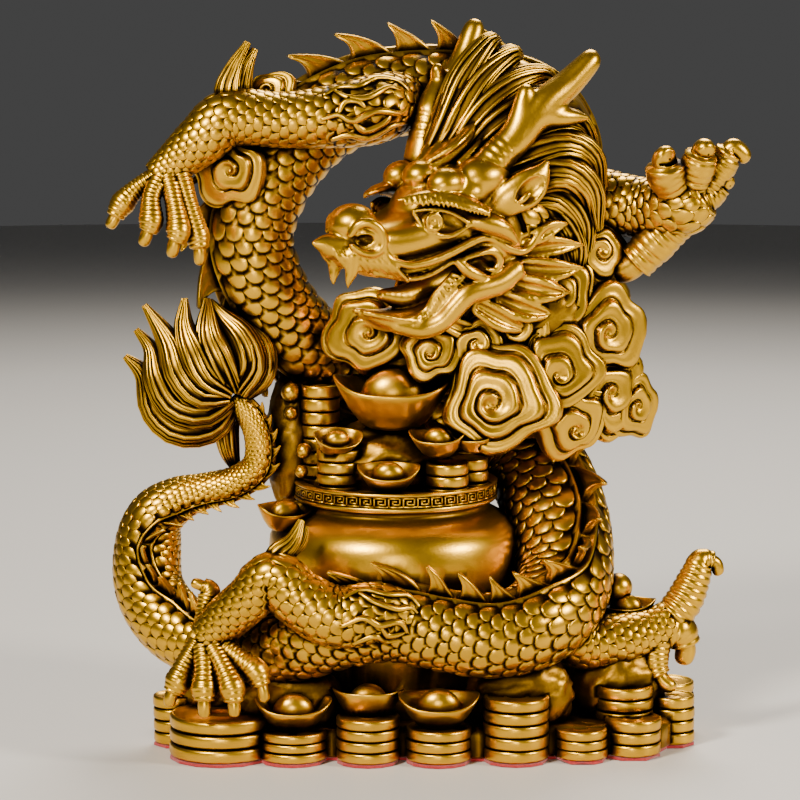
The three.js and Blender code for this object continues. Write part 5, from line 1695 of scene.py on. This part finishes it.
@dataclass
class Base:
    """The rough ground between the stacks, and the rocks that carry the body, the pot and the clouds."""

    shop: Workshop
    centre: tuple[float, float] = (-3, 0)
    half: tuple[float, float] = (114, 60)
    top: float = 15

    def build(self) -> None:
        """Makes the ground and the rocks."""
        self._ground()
        for x, y, z, a, b, c in ROCKS:
            self._rock((x, y, z), (a, b, c))

    def _ground(self) -> None:
        """The slab of the base with a rough top."""
        around = 240
        angle = np.arange(around) / around * TURN
        c, s = np.cos(angle), np.sin(angle)
        square = (np.abs(c) ** 4 + np.abs(s) ** 4) ** -0.25
        wave = 2 * np.cos(9 * angle)
        edge = np.column_stack([c * square * (self.half[0] + wave), s * square * (self.half[1] + wave)])
        rows = []
        for share, z in [(0.985, FOOT), (1.0, FOOT + 1.2), (1.0, self.top - 3), (0.985, self.top - 0.8)]:
            rows.append(np.column_stack([edge * share + self.centre, np.full(around, z)]))
        for share in np.linspace(0.96, 0.05, 34):
            flat = np.column_stack([edge * share + self.centre, np.full(around, self.top)])
            flat[:, 2] += 0.9 * rough(flat, 16, 4) + 0.5 * rough(flat, 6, 8)
            rows.append(flat)
        self.shop.dress("base_ground", capped(np.array(rows)))

    def _rock(self, centre: Sequence[float], size: Sequence[float]) -> None:
        """One lump, rough as cast."""
        bow = np.linspace(-1.5, 1.5, 40)
        ball = turned(list(zip(np.cos(bow), np.sin(bow))), 60)
        points = ball.points * np.array(size)
        lumps = np.abs(rough(points + np.array(centre), 11, 21))
        grains = np.abs(rough(points + np.array(centre), 5.5, 33))
        points *= (1.03 - 0.075 * lumps - 0.045 * grains)[:, None]
        points[:, 2] = np.maximum(points[:, 2], FOOT + 1 - centre[2])
        self.shop.dress("base_ground", Shape(points, ball.faces).at(centre))


# The finish of the whole


class Patina(Enum):
    """How far a piece has been rubbed bright, as a share of the whole."""

    RUBBED = 1.0
    DULL = 0.84


CAST_NODES = ("dragon_casting", "dragon_hind_leg", "dragon_tail", "dragon_forepart", "dragon_head")
# The rays that feel for metal round each point: their number, their reach and how far off the surface they start.
OPEN_RAYS = 14
OPEN_REACH = 0.014
OPEN_START = 0.00035


def occlusion_shade_recipe() -> Recipe:
    """A recipe that writes how open to the air each point is, from 0 in a deep recess to 1, which the metal turns into
    painted shade and patina.
    """

    def build(graph: Graph, given: Made) -> Value:
        """The nodes of the recipe."""
        target = graph.add("GeometryNodeObjectInfo", {"transform_space": "ORIGINAL"}, {0: given["Around"]})["Geometry"]
        place = graph.add("GeometryNodeInputPosition")[0]
        normal = graph.add("GeometryNodeInputNormal")[0]
        start = place + normal * OPEN_START
        total: Value | float = 0.0
        for k in range(OPEN_RAYS):
            z = 1 - 2 * (k + 0.5) / OPEN_RAYS
            a = k * math.pi * (3 - math.sqrt(5))
            way = Vector((math.sqrt(1 - z * z) * math.cos(a), math.sqrt(1 - z * z) * math.sin(a), z)) * 0.96
            point = graph.add("ShaderNodeVectorMath", {"operation": "ADD"}, {0: normal, 1: way})[0]
            aim = graph.add("ShaderNodeVectorMath", {"operation": "NORMALIZE"}, {0: point})[0]
            ray = graph.add(
                "GeometryNodeRaycast", None,
                {"Target Geometry": target, "Source Position": start, "Ray Direction": aim, "Ray Length": OPEN_REACH},
            )
            shut = ray["Is Hit"] * (1.0 - (ray["Hit Distance"] * (1 / OPEN_REACH)).apply("POWER", 0.6))
            total = shut + total
        openness = 1.0 - total * (1 / OPEN_RAYS)
        return graph.add(
            "GeometryNodeStoreNamedAttribute", {"data_type": "FLOAT", "domain": "POINT"},
            {"Geometry": given[0], "Name": "open", "Value": openness * given["Rubbed"]},
        )[0]

    return Recipe("open_to_air", [Knob("Around", "Object"), Knob("Rubbed", "Float", 1.0)], build)


def joined(objects: Sequence[bpy.types.Object], name: str) -> bpy.types.Object:
    """Joins plain mesh objects into the first and names it.

    Args:
        objects: the objects.
        name: the piece's name.

    Returns:
        The piece.
    """
    if len(objects) > 1:
        with bpy.context.temp_override(active_object=objects[0], selected_editable_objects=list(objects)):
            bpy.ops.object.join()
    objects[0].name = name
    objects[0].data.name = name
    return objects[0]


def finish_pieces(shop: Workshop) -> list[bpy.types.Object]:
    """Joins each piece's meshes, shades them by how open they are and hands them to the frame.

    Args:
        shop: what was made.

    Returns:
        The pieces.
    """
    pieces = [joined(parts, name) for name, parts in shop.made.items()]
    everything = joined([copy_of(piece) for piece in pieces], "whole")
    recipe = occlusion_shade_recipe()
    done = []
    for piece in pieces:
        name = piece.name
        patina = Patina.DULL if name == "base_ground" else Patina.RUBBED
        shaded = recipe.cook(piece, Around=everything, Rubbed=patina.value)
        shaded.name = name
        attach(shaded, "root")
        log.info("%s: %d triangles", name, sum(len(p.vertices) - 2 for p in shaded.data.polygons))
        done.append(shaded)
    bpy.data.objects.remove(everything)
    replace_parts(done[0], *CAST_NODES)
    return done


def copy_of(piece: bpy.types.Object) -> bpy.types.Object:
    """A copy of an object with a mesh of its own."""
    made = bpy.data.objects.new("copy", piece.data.copy())
    bpy.context.scene.collection.objects.link(made)
    return made


# The room


@dataclass(frozen=True)
class SoftLight:
    """A soft lamp that faces the sculpture."""

    place: tuple[float, float, float]
    size: float
    power: float
    colour: tuple[float, float, float] = (1, 1, 1)


# One lamp at the upper left, one at the right, one behind and a weak one low in front.
LAMPS = [
    SoftLight((-0.8, -1.1, 1.2), 0.34, 40, (1.0, 0.93, 0.82)),
    SoftLight((1.3, -0.6, 0.8), 0.3, 24, (1.0, 0.92, 0.8)),
    SoftLight((0.2, 1.0, 1.2), 0.7, 22, (1.0, 0.95, 0.88)),
    SoftLight((-0.1, -1.9, 0.3), 0.3, 9, (1.0, 0.93, 0.82)),
]


@dataclass
class Studio:
    """A pale floor, soft lamps and the camera in front."""

    aim: tuple[float, float, float] = (-13, 0, 152)
    distance: float = 1700
    elevation: float = 8.0
    lens: float = 170.0
    floor_radius: float = 2500
    floor_sides: int = 128
    floor_colour: tuple[float, float, float] = (0.62, 0.6, 0.57)
    room_grey: float = 0.62
    room_light: float = 0.1

    def build(self) -> None:
        """Makes the floor, the lamps and the camera."""
        self._floor()
        self._lamps()
        self._camera()

    def _floor(self) -> None:
        """A wide pale disc."""
        angle = np.arange(self.floor_sides) / self.floor_sides * TURN
        rim = np.column_stack([np.cos(angle), np.sin(angle)]) * self.floor_radius
        levels = ((1, -20), (1, -0.2), (0.5, -0.2))
        rows = [np.column_stack([rim * share, np.full(self.floor_sides, z)]) for share, z in levels]
        floor = capped(np.array(rows)).piece("floor")
        pale = bpy.data.materials.new("pale_floor")
        pale.use_nodes = True
        shader = pale.node_tree.nodes["Principled BSDF"]
        shader.inputs["Base Color"].default_value = (*self.floor_colour, 1)
        shader.inputs["Roughness"].default_value = 0.6
        floor.data.materials.append(pale)

    def _lamps(self) -> None:
        """The lamps, and a dim grey room round them."""
        aim = Vector(in_metres(self.aim).tolist())
        for number, lamp in enumerate(LAMPS):
            data = bpy.data.lights.new(f"lamp_{number}", "AREA")
            data.energy = lamp.power
            data.size = lamp.size
            data.color = lamp.colour
            made = bpy.data.objects.new(f"lamp_{number}", data)
            made.location = lamp.place
            made.rotation_euler = (aim - Vector(lamp.place)).to_track_quat("-Z", "Y").to_euler()
            bpy.context.scene.collection.objects.link(made)
        world = bpy.data.worlds.new("room")
        world.use_nodes = True
        background = world.node_tree.nodes["Background"]
        background.inputs[0].default_value = (*[self.room_grey] * 3, 1)
        background.inputs[1].default_value = self.room_light
        bpy.context.scene.world = world

    def _camera(self) -> None:
        """The camera, a little above the front."""
        data = bpy.data.cameras.new("camera")
        data.lens = self.lens
        data.sensor_width = 36
        data.clip_start = 0.05
        data.clip_end = 50
        made = bpy.data.objects.new("camera", data)
        aim = Vector(in_metres(self.aim).tolist())
        e = math.radians(self.elevation)
        made.location = aim + Vector((0, -math.cos(e), math.sin(e))) * self.distance * MM
        made.rotation_euler = (aim - made.location).to_track_quat("-Z", "Y").to_euler()
        bpy.context.scene.collection.objects.link(made)
        bpy.context.scene.camera = made


def main() -> None:
    """Builds the sculpture part by part, finishes it and sets up the room."""
    logging.basicConfig(level=logging.INFO, format="%(message)s")
    brass = AntiqueBrass().make()
    shop = Workshop(Recipes(), brass)
    Body(shop).build()
    Head(shop).build()
    Hair(shop).build()
    for name, (chain, toes) in LIMBS.items():
        Limb(shop, name, chain, toes).build()
    Clouds(shop).build()
    Pot(shop).build()
    Treasure(shop).build()
    Base(shop).build()
    finish_pieces(shop)
    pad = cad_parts["felt_pad"]
    pad.data.materials.clear()
    pad.data.materials.append(RedFelt().make())
    Studio().build()


if __name__ == "__main__":
    main()
